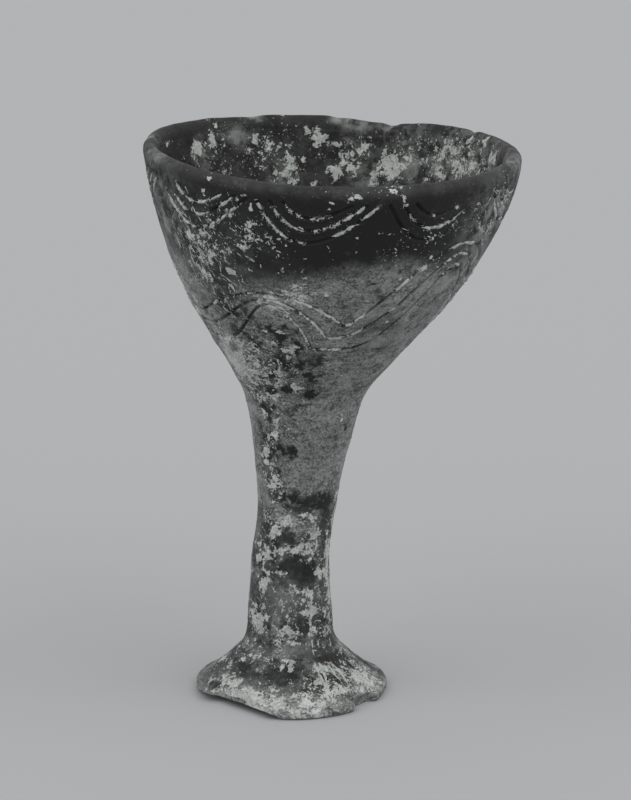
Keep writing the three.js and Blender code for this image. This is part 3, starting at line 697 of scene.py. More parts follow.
def smoke_on(kind, angle, height, cloud):
    """How smoked the points of one side are, with less on the lip's top, partly as wear and partly as
    painted sheen.
    """
    if kind == FOOT:
        return np.zeros(len(angle))
    if kind == INSIDE:
        return cover(INSIDE_SMOKE, smooth(height, BOWL_FLOOR, INSIDE_BLACK))
    behind, rise_behind = SMOKE_BEHIND
    edge = SMOKE_HEIGHT + rise_behind * np.maximum(np.cos(np.radians(angle - behind)), 0)
    for wave_angle, half_angle, rise in SMOKE_WAVES:
        edge += rise * np.exp(-(turn_between(angle, wave_angle) / half_angle) ** 2)
    smoke = smooth(height + SMOKE_DRIFT * cloud, *(edge + fade for fade in SMOKE_FADE))
    smoke += STEM_SMOKE[4] * broad(angle, height, STEM_SMOKE)
    # The lip's top is made paler: partly rubbed wear, partly painted sheen
    return smoke - LIP_WEAR_AND_SHEEN * smooth(height, LIP_BASE, LIP_WEAR_AND_SHEEN_FROM)


def coats_on(kind, angle, place, radius, height, wander, cloud):
    """The smoke, stains, lime and film on the points of one side, with the painted sheen and rim light that
    some zones add.
    """
    lime, soot = cover(THIN_LIME, cloud), cover(THIN_SOOT, cloud)
    for zone in WEATHER[kind]:
        share = broad(angle, place, zone)
        lime += zone[4] * share
        soot += zone[5] * share
    film = np.zeros(len(angle))
    for zone in FILM[kind]:
        film = np.maximum(film, zone[4] * broad(angle, place, zone))
    stretch = FOOT_STRETCH if kind == FOOT else np.hypot(1, outer_slope(height))
    crust, stain = (patch_field(angle, place, radius, stretch, wander, patches[kind])
                    for patches in (LIME_PATCHES, SOOT_PATCHES))
    bare = 1 - STAIN_CLEARS * np.clip(2 * stain, 0, 1)
    return {
        "smoke": smoke_on(kind, angle, height, cloud),
        "stain": np.maximum(cover(STAIN_COVER, stain), np.maximum(soot, 0)),
        "lime": np.maximum(cover(CRUST_COVER, crust), np.maximum(lime, 0) * bare),
        "film": film * bare,
    }


def carved(angle, height, grain, fine):
    """How deep the strokes are cut, the burr along them, and the lime smeared beside them."""
    depth, burr, smear = np.zeros((3, len(angle)))
    for _, course, kept in STROKES:
        distance = stroke_distance(angle, height, course) + STROKE_WAVER * fine
        depth = np.maximum(depth, 1 - smooth(distance, 0, GROOVE_WIDTH / 2))
        burr = np.maximum(burr, np.exp(-((distance - BURR_PLACE) / BURR_WIDTH) ** 2))
        last = len(course) - 1
        for start, end in kept:
            part = course[int(start * last):int(end * last) + 2]
            smear = np.maximum(smear, np.exp(-(stroke_distance(angle, height, part) / SMEAR_WIDTH) ** 2))
    return depth, burr, SMEAR * smear + SMEAR_GRAIN * grain


def weathered(points, angle, radius, height, side):
    """The relief of the skin in millimetres, and the coats that colour it."""
    cloud, grain, fine = (mottle(points, *lumps) for lumps in (CLOUDS, GRAIN, FINE_GRAIN))
    wander = np.column_stack([mottle(points, *lumps) for lumps in WANDERS])
    coats = {name: np.zeros(len(points)) for name in COATS}
    for kind in (OUTSIDE, INSIDE, FOOT):
        here = side == kind
        if here.any():
            place = radius if kind == FOOT else height
            fields = (values[here] for values in (angle, place, radius, height, wander, cloud))
            for name, values in coats_on(kind, *fields).items():
                coats[name][here] = values
    under = side == UNDERSIDE
    coats["lime"][under] = cover(UNDER_LIME, cloud[under])
    coats["stain"][under] = cover(UNDER_SOOT, cloud[under])
    relief = sum(depth * ripple(points, size, seed) for depth, size, seed in HAND_DENTS)
    bowl = (side == OUTSIDE) & (height > LOWER_WALL_BASE)
    if bowl.any():
        depth, burr, smear = carved(angle[bowl], height[bowl], grain[bowl], fine[bowl])
        coats["carve"][bowl] = depth
        coats["lime"][bowl] = np.maximum(coats["lime"][bowl], smear)
        groove = GROOVE_DEPTH * depth * cover(GROOVE_FLOOR, grain[bowl])
        relief[bowl] += BURR_HEIGHT * burr * (1 - depth) - groove
    for chip_angle, half_angle, depth in LIP_CHIPS:
        turn = turn_between(angle, chip_angle) + CHIP_WAVER * wander[:, 0] / radius
        chip = np.exp(-(turn / half_angle) ** 2)
        relief -= depth * chip * smooth(height, *CHIP_RISE)
        coats["film"] = np.maximum(coats["film"], chip * smooth(height, *CHIP_FILM_RISE))
    worn = np.clip(coats["lime"] + STAIN_WEAR * coats["stain"], 0, 1)
    relief -= PIT_DEPTH * smooth(fine, *PIT_GRAIN) * cover(PIT_COVER, worn)
    crust = CRUST_HEIGHT * np.clip(coats["lime"], 0, 1) + CRUST_HEIGHT * grain * worn
    relief += crust * (1 - coats["carve"])
    return relief, coats


def skin(side, start, end, rows):
    """Rows of (radius, height, outward normal, side) on the outer or inner skin."""
    height = np.linspace(start, end, rows + 1)
    sign = 1 if side == OUTSIDE else -1
    radius = outer_radius(height) if side == OUTSIDE else inner_radius(height)
    slope = outer_slope(height)
    size = np.hypot(1, slope)
    return np.column_stack([radius, height, sign / size, -sign * slope / size, np.full(rows + 1, side)])


def curved(side, points, rows):
    """Rows on a quadratic curve through (radius, height) start, pull and end points."""
    start, pull, end = (np.array(point, float) for point in points)
    share = np.linspace(0, 1, rows + 1)[:, None]
    left = 1 - share
    place = left ** 2 * start + 2 * share * left * pull + share ** 2 * end
    along = left * (pull - start) + share * (end - pull)
    along /= np.linalg.norm(along, axis=1)[:, None]
    return np.column_stack([place, along[:, 1], -along[:, 0], np.full(rows + 1, side)])


def hidden(*points):
    """Rows in a joint, where nothing shows and nothing is uneven."""
    return np.array([(radius, height, 0, 0, HIDDEN) for radius, height in points], float)


def lap_joint(base, lift):
    """The middle of the slanting joint between two rings of the wall, eased away from its neighbour."""
    radius = (outer_radius(base) + inner_radius(base + LAP)) / 2
    return float(radius), base + LAP / 2 + lift


def lower_coil_face(rows):
    stem_foot = float(outer_radius(STEM_LOW)), STEM_LOW
    return curved(OUTSIDE, (FOOT_SHOULDER, (STEM_BASE_RADIUS, FOOT_TOP), stem_foot), rows)


def break_reach(points, angle, shift, width, rough):
    """How far points reach towards a break, its direction, and how far they lie within its width."""
    out = np.array([np.cos(np.radians(angle)), np.sin(np.radians(angle))])
    aside = np.abs(points[:, :2] @ np.array([-out[1], out[0]]) - shift)
    within = 1 - smooth(aside + BREAK_END_WAVER * rough, width / 2 - BREAK_EASE, width / 2 + BREAK_EASE)
    return points[:, :2] @ out, out, within


def broken(points):
    """Cuts the foot's edge back to its two old breaks and lifts it over the gap, whose ceiling gets painted
    shade.
    """
    roughness, size, seed = BREAK_ROUGH
    rough = roughness * mottle(points, size, seed)
    for angle, shift, inset, width, tilt in FOOT_BREAKS:
        reach, out, within = break_reach(points, angle, shift, width, rough)
        face = inset + points[:, 2] * np.tan(np.radians(tilt)) + rough
        points[:, :2] -= (np.maximum(reach - face, 0) * within)[:, None] * out
    angle, shift, start, width, tilt = FOOT_GAP
    reach, out, within = break_reach(points, angle, shift, width, rough)
    ceiling = (reach - start) / np.tan(np.radians(tilt)) + CEILING_WAVER * rough
    lift = np.maximum(np.where(reach > start, ceiling, 0) - points[:, 2], 0) * within
    points[:, 2] = np.maximum(points[:, 2] + lift, 0)
    return points, smooth(lift, *GAP_SHADE_LIFT)


def placed(name, data):
    """A new object in the scene."""
    item = bpy.data.objects.new(name, data)
    bpy.context.scene.collection.objects.link(item)
    return item


def dressed(name, mesh, slot, *nodes):
    """A finished piece that rides on the goblet and stands for its solids."""
    piece = placed(name, mesh)
    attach(piece, "root")
    if nodes:
        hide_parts(*nodes)
    return piece


def add_layer(mesh, name, values):
    """Gives each point of a mesh a named value."""
    mesh.attributes.new(name, "FLOAT", "POINT").data.foreach_set("value", np.asarray(values, np.float32))


def turned_piece(name, outline, columns, slot, material):
    """A closed clay piece: its outline turned round the axis, weathered and moved to its leaning place."""
    angle = np.tile(np.linspace(-180, 180, columns, endpoint=False), len(outline))
    radius, height, out, up, side = np.repeat(outline, columns, axis=0).T
    turn = np.radians(angle)
    round_axis = np.column_stack([np.cos(turn), np.sin(turn)])
    points = np.column_stack([round_axis * radius[:, None], height])
    relief, coats = weathered(points, angle, np.maximum(radius, 1), height, side)
    relief = np.where(side == HIDDEN, 0, relief)
    points += np.column_stack([round_axis * out[:, None], up]) * relief[:, None]
    if name == "foot":
        points, gap_shade = broken(points)
        # Painted shade: the gap's ceiling is coloured black, and its lime and film are taken off
        coats["smoke"] = np.maximum(coats["smoke"], gap_shade)
        coats["lime"] -= gap_shade
        coats["film"] *= 1 - gap_shade
    rows = len(outline)
    on_axis = bool(outline[0, 0] <= STEM_CORE)
    ring = np.arange(rows * columns).reshape(rows, columns)
    corners = [ring, np.roll(ring, -1, axis=1)]
    corners += [np.roll(corner, -1, axis=0) for corner in reversed(corners)]
    faces = np.stack(corners, axis=-1)[:rows - on_axis].reshape(-1, 4).tolist()
    if on_axis:
        faces += [ring[0][::-1].tolist(), ring[-1].tolist()]
    mesh = bpy.data.meshes.new(name + "_clay")
    mesh.from_pydata((handmade(points) * MM).tolist(), [], faces)
    for label, values in coats.items():
        add_layer(mesh, label, values)
    mesh.shade_smooth()
    mark_joints(mesh, outline, columns)
    mesh.materials.append(material)
    return dressed(name + "_clay", mesh, slot, name)


def mark_joints(mesh, outline, columns):
    """Marks the rings of edges at a joint as sharp, so that the skin's shading runs straight into it."""
    shown = outline[:, 4] != HIDDEN
    corner = ~(shown & np.roll(shown, 1) & np.roll(shown, -1))
    ends = np.empty(len(mesh.edges) * 2, int)
    mesh.edges.foreach_get("vertices", ends)
    rings = ends.reshape(-1, 2) // columns
    sharp = (rings[:, 0] == rings[:, 1]) & corner[rings[:, 0]]
    mesh.attributes.new("sharp_edge", "BOOLEAN", "EDGE").data.foreach_set("value", sharp)


def linear(code):
    """A linear colour from an sRGB hex value."""
    parts = [int(code[start:start + 2], 16) / 255 for start in (1, 3, 5)]
    return [part / 12.92 if part <= 0.04045 else ((part + 0.055) / 1.055) ** 2.4 for part in parts] + [1]


GREY_CLAY = linear("#9d9f9d")
DARK_CLAY = linear("#464847")
STAINED_CLAY = linear("#212221")
BLACK_CLAY = linear("#161615")
PALE_LIME = linear("#c6cac7")
GREY_LIME = linear("#969a97")
FLOOR_GREY = linear("#b1b2b4")
EASED = {"interpolation_type": "SMOOTHSTEP"}


def add_node(tree, kind, settings=None, inputs=None):
    """Adds a node with its settings. An input is a value, a socket, or a node with its first live output."""
    node = tree.nodes.new(kind)
    for name, value in (settings or {}).items():
        setattr(node, name, value)
    for name, value in (inputs or {}).items():
        if isinstance(value, bpy.types.Node):
            value = next(socket for socket in value.outputs if socket.enabled)
        if isinstance(value, bpy.types.NodeSocket):
            tree.links.new(value, node.inputs[name])
        else:
            node.inputs[name].default_value = value
    return node


def new_material(name):
    material = bpy.data.materials.new(name)
    material.use_nodes = True
    tree = material.node_tree
    return material, tree, tree.nodes["Principled BSDF"]


def summed(tree, *parts):
    """The sum of (weight, node) parts."""
    total = 0.0
    for weight, node in parts:
        total = add_node(tree, "ShaderNodeMath", {"operation": "MULTIPLY_ADD"},
                         {0: node, 1: weight, 2: total})
    return total


def layered(tree, colour, *coats):
    """A colour under coats of (share, colour)."""
    for share, coat in coats:
        colour = add_node(tree, "ShaderNodeMix", {"data_type": "RGBA"},
                          {"Factor": share, 6: colour, 7: coat})
    return colour


def ragged(tree, amount, noise, blur):
    """Cover that grows from the noise's peaks as the amount grows from 0 to 1, with a ragged edge."""
    level = summed(tree, (1.5, noise), (0.6, amount))
    return add_node(tree, "ShaderNodeMapRange", EASED,
                    {"Value": level, "From Min": 1.1 - blur, "From Max": 1.1 + blur})


def clay_material():
    """Hand-smoothed earthenware, fired grey and smoked black at the top: a soft sheen where it was rubbed,
    dull and pitted where it is worn, with crusts of lime on it and grime and painted shade in its strokes."""
    material, tree, surface = new_material("smoked_earthenware")
    coords = add_node(tree, "ShaderNodeTexCoord").outputs["Object"]
    wiped = add_node(tree, "ShaderNodeMapping", None, {"Vector": coords, "Scale": WIPE_STRETCH})
    noise = {}
    for seed, (name, (size, detail, roughness, distortion)) in enumerate(CLAY_GRAIN.items()):
        noise[name] = add_node(tree, "ShaderNodeTexNoise", {"noise_dimensions": "4D"}, {
            "Vector": wiped if name == "wipe" else coords, "W": 3.0 * seed, "Scale": 1 / (size * MM),
            "Detail": detail, "Roughness": roughness, "Distortion": distortion})
    coat = {name: add_node(tree, "ShaderNodeAttribute", {"attribute_name": name}).outputs["Fac"]
            for name in COATS}
    tone = summed(tree, (0.35, noise["grit"]), (0.3, noise["soil"]), (0.15, noise["cloud"]),
                  (0.2, noise["wipe"]))
    smoked = summed(tree, (1.4, noise["soil"]), (1, coat["smoke"]))
    rubbed = summed(tree, (0.7, noise["soil"]), (0.4, noise["cloud"]))
    whiteness = summed(tree, (0.5, noise["soil"]), (0.5, noise["grit"]), (-0.04, coat["stain"]))
    # Each effect: what causes it, the values of that at which it starts and is full, and its strength then
    effects = {
        "light": (tone, 0.41, 0.59, 1), "pits": (noise["pit"], 0.6, 0.68, 0.55),
        "specks": (noise["speck"], 0.6, 0.7, 0.55), "smoke": (smoked, 0.8, 1.65, 1),
        # The strokes darken with their depth: partly grime, partly painted shade in the grooves
        "rubbed": (rubbed, 0.46, 0.66, 0.75), "groove_grime_and_shade": (coat["carve"], 0.05, 0.55, 0.85),
        "white": (whiteness, 0.36, 0.6, 1),
    }
    share = {}
    for name, (cause, start, full, most) in effects.items():
        share[name] = add_node(tree, "ShaderNodeMapRange", EASED,
                               {"Value": cause, "From Min": start, "From Max": full, "To Max": most})
    stain = ragged(tree, coat["stain"], noise["soil"], 0.14)
    film = add_node(tree, "ShaderNodeMath", {"operation": "MULTIPLY"}, {0: coat["film"], 1: share["rubbed"]})
    clay = layered(tree, DARK_CLAY, (share["light"], GREY_CLAY), (share["pits"], BLACK_CLAY),
                   (share["specks"], GREY_LIME), (stain, STAINED_CLAY), (share["smoke"], BLACK_CLAY),
                   (share["groove_grime_and_shade"], BLACK_CLAY), (film, GREY_LIME))

    vein = add_node(tree, "ShaderNodeMath", {"operation": "COMPARE"}, {0: noise["vein"], 1: 0.5, 2: 0.025})
    crumbling = summed(tree, (0.35, noise["grit"]), (0.65, noise["fleck"]), (0.04, vein))
    thick = ragged(tree, coat["lime"], crumbling, 0.045)
    thin = add_node(tree, "ShaderNodeMath", {"operation": "MINIMUM"}, {0: coat["lime"], 1: 0.28})
    spray = ragged(tree, thin, summed(tree, (0.93, noise["speck"])), 0.05)
    crust = add_node(tree, "ShaderNodeMath", {"operation": "MAXIMUM"}, {0: thick, 1: spray})
    chalk = layered(tree, GREY_LIME, (share["white"], PALE_LIME))
    colour = layered(tree, clay, (crust, chalk))
    sheen = add_node(tree, "ShaderNodeMapRange", EASED, {
        "Value": share["smoke"], "From Min": 0.2, "From Max": 0.9, "To Min": 0.75, "To Max": 0.5})
    dullness = summed(tree, (1, sheen), (0.35, crust), (0.2, noise["grit"]))
    height = summed(tree, (0.8, crust), (0.7, noise["grit"]), (-1.6, share["pits"]), (0.15, noise["wipe"]))
    bump = add_node(tree, "ShaderNodeBump", None,
                    {"Height": height, "Distance": 0.15 * MM, "Strength": 0.8})
    tree.links.new(colour.outputs[2], surface.inputs["Base Color"])
    tree.links.new(dullness.outputs[0], surface.inputs["Roughness"])
    tree.links.new(bump.outputs[0], surface.inputs["Normal"])
    surface.inputs["Specular IOR Level"].default_value = 0.3
    return material


def lime_material():
    """Powdery white lime, pressed into the strokes by hand: quite matt, stained grey in clouds."""
    material, tree, surface = new_material("pressed_lime")
    coords = add_node(tree, "ShaderNodeTexCoord").outputs["Object"]
    cloud, grit = (
        add_node(tree, "ShaderNodeTexNoise", None,
                 {"Vector": coords, "Scale": 1 / (size * MM), "Detail": detail})
        for size, detail in ((1.8, 4), (0.4, 2)))
    tint = add_node(tree, "ShaderNodeMapRange", None, {"Value": cloud, "From Min": 0.35, "From Max": 0.72})
    colour = layered(tree, GREY_LIME, (tint, PALE_LIME))
    bump = add_node(tree, "ShaderNodeBump", None, {"Height": grit, "Distance": 0.1 * MM})
    tree.links.new(colour.outputs[2], surface.inputs["Base Color"])
    tree.links.new(bump.outputs[0], surface.inputs["Normal"])
    surface.inputs["Roughness"].default_value = 0.95
    return material


def floor_material():
    """Matt painted studio board."""
    material, _, surface = new_material("painted_board")
    surface.inputs["Base Color"].default_value = FLOOR_GREY
    surface.inputs["Roughness"].default_value = 0.9
    surface.inputs["Specular IOR Level"].default_value = 0.0
    return material


def new_tree(name, sockets):
    """A geometry tree with named inputs: the tree, their identifiers and their outlets inside it."""
    tree = bpy.data.node_groups.new(name, "GeometryNodeTree")
    identifiers = {}
    for label, kind in sockets.items():
        socket = tree.interface.new_socket(label, in_out="INPUT", socket_type="NodeSocket" + kind)
        identifiers[label] = socket.identifier
    tree.interface.new_socket("Geometry", in_out="OUTPUT", socket_type="NodeSocketGeometry")
    return tree, identifiers, add_node(tree, "NodeGroupInput").outputs


def lumpy(tree, geometry, size, height, settings, inputs):
    """Pushes geometry about in lumps of a size and height, by a noise with these settings and inputs."""
    pitch = add_node(tree, "ShaderNodeMath", {"operation": "DIVIDE"}, {0: 1, 1: size})
    lump = add_node(tree, "ShaderNodeTexNoise", settings, {"Scale": pitch, **inputs})
    centred = add_node(tree, "ShaderNodeVectorMath", {"operation": "SUBTRACT"},
                       {0: lump.outputs["Color"], 1: (0.5, 0.5, 0.5)})
    offset = add_node(tree, "ShaderNodeVectorMath", {"operation": "SCALE"}, {0: centred, "Scale": height})
    return add_node(tree, "GeometryNodeSetPosition", None, {"Geometry": geometry, "Offset": offset})


def end_tree(tree, geometry, material):
    """Ends a tree with real geometry in one material."""
    real = add_node(tree, "GeometryNodeRealizeInstances", None, {"Geometry": geometry})
    done = add_node(tree, "GeometryNodeSetMaterial", None, {"Geometry": real, "Material": material})
    add_node(tree, "NodeGroupOutput", None, {"Geometry": done})


def strand_tree():
    """Sweeps lumps of lime along lines, as thick as the lines' own thickness says."""
    tree, identifiers, given = new_tree("lime_strand", {
        "Geometry": "Geometry", "Radius": "Float", "Lump size": "Float", "Lump height": "Float",
        "Seed": "Float", "Material": "Material"})
    thickness = add_node(tree, "GeometryNodeInputNamedAttribute", {"data_type": "FLOAT"},
                         {"Name": "thickness"})
    course = add_node(tree, "GeometryNodeMeshToCurve", None, {"Mesh": given["Geometry"]})
    ring = add_node(tree, "GeometryNodeCurvePrimitiveCircle", None,
                    {"Resolution": 8, "Radius": given["Radius"]})
    tube = add_node(tree, "GeometryNodeCurveToMesh", None,
                    {"Curve": course, "Profile Curve": ring, "Scale": thickness, "Fill Caps": True})
    lumps = lumpy(tree, tube, given["Lump size"], given["Lump height"],
                  {"noise_dimensions": "4D"}, {"W": given["Seed"], "Detail": 1})
    end_tree(tree, lumps, given["Material"])
    return tree, identifiers


def crumb_tree():
    """Scatters lumpy crumbs of lime on a skin, thicker where its crumb layer says."""
    tree, identifiers, given = new_tree("lime_crumbs", {
        "Geometry": "Geometry", "Density": "Float", "Crumb radius": "Float", "Seed": "Int",
        "Material": "Material"})
    share = add_node(tree, "GeometryNodeInputNamedAttribute", {"data_type": "FLOAT"}, {"Name": "crumb"})
    density = add_node(tree, "ShaderNodeMath", {"operation": "MULTIPLY"}, {0: share, 1: given["Density"]})
    points = add_node(tree, "GeometryNodeDistributePointsOnFaces", None,
                      {"Mesh": given["Geometry"], "Density": density, "Seed": given["Seed"]})
    ball = add_node(tree, "GeometryNodeMeshIcoSphere", None,
                    {"Radius": given["Crumb radius"], "Subdivisions": 2})
    crumb = lumpy(tree, ball, given["Crumb radius"], given["Crumb radius"], {}, {"Detail": 0})
    size, spin = (
        add_node(tree, "FunctionNodeRandomValue", {"data_type": "FLOAT_VECTOR"},
                 {0: least, 1: most, "Seed": given["Seed"]})
        for least, most in (((0.35, 0.35, 0.25), (1.4, 1.4, 0.6)), ((0, 0, 0), (0, 0, 2 * np.pi))))
    spin = add_node(tree, "FunctionNodeEulerToRotation", None, {"Euler": spin})
    turned = add_node(tree, "FunctionNodeRotateRotation", {"rotation_space": "LOCAL"},
                      {"Rotation": points.outputs["Rotation"], "Rotate By": spin})
    crumbs = add_node(tree, "GeometryNodeInstanceOnPoints", None,
                      {"Points": points, "Instance": crumb, "Rotation": turned, "Scale": size})
    end_tree(tree, crumbs, given["Material"])
    return tree, identifiers


def grown(name, mesh, tree, identifiers, values):
    """The plain mesh that a tree grows from a mesh, with its inputs set."""
    seedling = placed(name, mesh)
    modifier = seedling.modifiers.new(tree.name, "NODES")
    modifier.node_group = tree
    for label, value in values.items():
        modifier[identifiers[label]] = value
    bpy.context.view_layer.update()
    graph = bpy.context.evaluated_depsgraph_get()
    result = bpy.data.meshes.new_from_object(seedling.evaluated_get(graph))
    bpy.data.objects.remove(seedling)
    result.name = name
    result.shade_smooth()
    return result


def skin_radius(height):
    """The radius of the outer skin from the foot's slope up, through the coil that lutes the stem to it."""
    slope = np.vstack([curved(FOOT, FOOT_SLOPE, 20), lower_coil_face(10)])
    low = np.interp(height, slope[:, 1], slope[:, 0])
    return np.where(height < STEM_LOW, low, outer_radius(height))


def on_skin(angle, height, sunk):
    """Points on the turned form's outer skin, sunk into it by a depth."""
    radius = skin_radius(height) - sunk
    turn = np.radians(angle)
    return np.column_stack([radius * np.cos(turn), radius * np.sin(turn), height])


def skin_relief(angle, height):
    """How far the weathered skin stands out of the turned form, in millimetres."""
    side = np.where(height < FOOT_SHOULDER[1], FOOT, OUTSIDE)
    relief, _ = weathered(on_skin(angle, height, 0), angle, skin_radius(height), height, side)
    return relief


def taper(share, steepness, roundness):
    """1 along the middle of a line, falling to 0 at its ends."""
    return np.minimum(1, steepness * np.minimum(share, 1 - share)) ** roundness


def strand_lines(fragments, kind, seed):
    """Lines of (points, girth) for (course, start share, end share) fragments of lime in a stroke.

    The lime is uneven, breaks where it has worn thin, and has spurs squeezed out of the stroke beside it."""
    draws = np.random.default_rng(seed)
    for course, start, end in fragments:
        count = max(int((end - start) * len(course) * STRAND_STEPS), LEAST_STEPS)
        at = np.linspace(start, end, count) * (len(course) - 1)
        angle, height = (np.interp(at, np.arange(len(course)), values) for values in course.T)
        place = on_skin(angle, height, 0)
        full = cover(STRAND_ENDS, taper(np.linspace(0, 1, count), *STRAND_TAPER))
        uneven = sum(part * mottle(place, size, seed + more) for part, size, more in STRAND_UNEVEN)
        girth = STRAND_GIRTH[kind] * full * (1 + uneven) - STRAND_WEAR
        waver, size, more = STRAND_WAVER
        height = height + waver * mottle(place, size, seed + more)
        yield on_skin(angle, height, LIME_SUNK), girth
        length = np.linalg.norm(np.diff(place, axis=0), axis=1).sum()
        for _ in range(int(length / SPUR_SPACING[kind])):
            spot = draws.integers(count)
            lean = draws.uniform(0, 2 * np.pi)
            reach = np.linspace(0, draws.uniform(*SPUR_REACH), SPUR_STEPS)
            aside = np.degrees(reach * np.cos(lean) / outer_radius(height[spot]))
            spur = on_skin(angle[spot] + aside, height[spot] + reach * np.sin(lean), LIME_SUNK / 2)
            yield spur, np.linspace(draws.uniform(*SPUR_GIRTH), SPUR_TIP, SPUR_STEPS)


def scratch_lines():
    """Lines of (points, girth) for the scratches that show at the front, and for hairlines by chance."""
    draws = np.random.default_rng(HAIRLINE_SEED)
    scratches = [(half, np.array(places, float)) for half, *places in SCRATCHES]
    for angle, height, half_angle, half_height, count, length in HAIRLINES:
        for _ in range(count):
            start = np.array([draws.normal(angle, half_angle / 2), draws.normal(height, half_height / 2)])
            run = length * np.array([draws.normal(*HAIRLINE_TURN), -draws.uniform(*HAIRLINE_FALL)])
            top = np.minimum(start, (360, HAIRLINE_TOP))
            scratches.append((draws.uniform(*HAIRLINE_HALF), np.array([top, top + run])))
    share = np.linspace(0, 1, SCRATCH_STEPS)
    distance, size = SCRATCH_WAVER
    courses = []
    for seed, (_, places) in enumerate(scratches):
        steps = share * (len(places) - 1)
        angle, height = (np.interp(steps, np.arange(len(places)), values) for values in places.T)
        waver = distance * mottle(on_skin(angle, height, 0), size, seed)
        courses.append((angle + np.degrees(waver / skin_radius(height)), height))
    angles, heights = np.array(courses).transpose(1, 0, 2)
    reliefs = skin_relief(angles.ravel(), heights.ravel()).reshape(angles.shape)
    size, more = SCRATCH_LUMP
    for seed, (half, _) in enumerate(scratches):
        place = on_skin(angles[seed], heights[seed], half / 2 - reliefs[seed])
        uneven = cover(SCRATCH_GIRTH, mottle(place, size, seed + more))
        yield place, half / STRAND_RADIUS * taper(share, *SCRATCH_TAPER) * uneven


def lime_piece(name, lines, seed, lump_height, material, *nodes):
    """Grows lime along lines of (points, girth) into one piece, broken where it is thinnest."""
    points, edges, thickness = [], [], []
    for place, girth in lines:
        first = len(thickness)
        points.append(handmade(place) * MM)
        thickness.extend(np.clip(girth, *GIRTHS))
        whole = np.minimum(girth[:-1], girth[1:]) > BREAKING_GIRTH
        edges += [(first + step, first + step + 1) for step in np.flatnonzero(whole).tolist()]
    mesh = bpy.data.meshes.new(name + "_lines")
    mesh.from_pydata(np.vstack(points).tolist(), edges, [])
    add_layer(mesh, "thickness", thickness)
    values = {"Radius": STRAND_RADIUS * MM, "Lump size": LUMP_SIZE * MM, "Lump height": lump_height * MM,
              "Seed": float(seed), "Material": material}
    dressed(name, grown(name, mesh, *STRAND_TREE, values), "lime", *nodes)


def lime_strands(material):
    """What is left of the lime: a strand in each filled stroke, remains in the empty ones, and scratches."""
    remains = []
    for seed, (name, course, kept) in enumerate(STROKES):
        fragments = [(course, start, end) for start, end in kept]
        if name.endswith("_rise"):
            remains += fragments
        else:
            lines = strand_lines(fragments, name.split("_")[0], seed)
            lime_piece(name + "_strand", lines, seed, STRAND_LUMPS, material, name + "_lime")
    lines = strand_lines(remains, "wave", REMAINS_SEED)
    lime_piece("lime_remains", lines, REMAINS_SEED, STRAND_LUMPS, material)
    lime_piece("lime_scratches", scratch_lines(), SCRATCH_SEED, SCRATCH_LUMPS, material)


def lime_crumbs(skins, material):
    """Crumbs of lime that stand proud of the clay, as one piece."""
    tree, identifiers = crumb_tree()
    points, faces = [], []
    for seed, skin_piece in enumerate(skins):
        host = skin_piece.data.copy()
        amount = np.empty(len(host.vertices), np.float32)
        host.attributes["lime"].data.foreach_get("value", amount)
        raised = np.array([vertex.co.z > MM for vertex in host.vertices])
        add_layer(host, "crumb", smooth(amount, *CRUMB_COVER) * raised)
        values = {"Density": CRUMB_DENSITY / MM ** 2, "Crumb radius": CRUMB_RADIUS * MM, "Seed": seed,
                  "Material": material}
        crumbs = grown("crumbs", host, tree, identifiers, values)
        first = len(points)
        points += [tuple(vertex.co) for vertex in crumbs.vertices]
        faces += [[first + index for index in face.vertices] for face in crumbs.polygons]
    mesh = bpy.data.meshes.new("lime_flecks")
    mesh.from_pydata(points, [], faces)
    mesh.shade_smooth()
    mesh.materials.append(material)
    dressed("lime_flecks", mesh, "lime")


# The closed outlines of the clay pieces, which meet their neighbours in one unbroken skin
def foot_outline():
    return (
        hidden((FOOT_SOCKET_RADIUS, HOLLOW_TOP)),
        curved(UNDERSIDE, FOOT_HOLLOW, 24),
        curved(UNDERSIDE, FOOT_FLAT, 9),
        curved(FOOT, FOOT_LOW_EDGE, 5),
        curved(FOOT, FOOT_HIGH_EDGE, 6),
        curved(FOOT, FOOT_SLOPE, 44),
        hidden((FOOT_SEAT_RADIUS, FOOT_TOP), (FOOT_SOCKET_RADIUS, FOOT_TOP)),
    )


def stem_outline():
    foot, seat, top = HOLLOW_TOP + CLEARANCE, FOOT_TOP + CLEARANCE, BOWL_FLOOR - CLEARANCE
    return (
        hidden((STEM_CORE, foot), (FOOT_TENON_RADIUS, foot), (FOOT_TENON_RADIUS, seat),
               (FOOT_SEAT_RADIUS, seat)),
        skin(OUTSIDE, STEM_LOW, STEM_HIGH, 185),
        hidden((BOWL_SEAT_RADIUS, BOWL_SEAT), (BOWL_TENON_RADIUS, BOWL_SEAT), (BOWL_TENON_RADIUS, top),
               (STEM_CORE, top)),
    )


def lower_coil_outline():
    return (
        lower_coil_face(20),
        hidden((FOOT_SEAT_RADIUS + COIL_EASE_ASIDE, FOOT_TOP + COIL_EASE_UP)),
    )


def upper_coil_outline():
    low, high = ((float(outer_radius(height)), height) for height in (STEM_HIGH, BOWL_RING_LOW))
    return (
        curved(OUTSIDE, (low, (STEM_TOP_RADIUS, BOWL_SEAT), high), 22),
        hidden((BOWL_SEAT_RADIUS + COIL_EASE_ASIDE, BOWL_SEAT + COIL_EASE_UP)),
    )


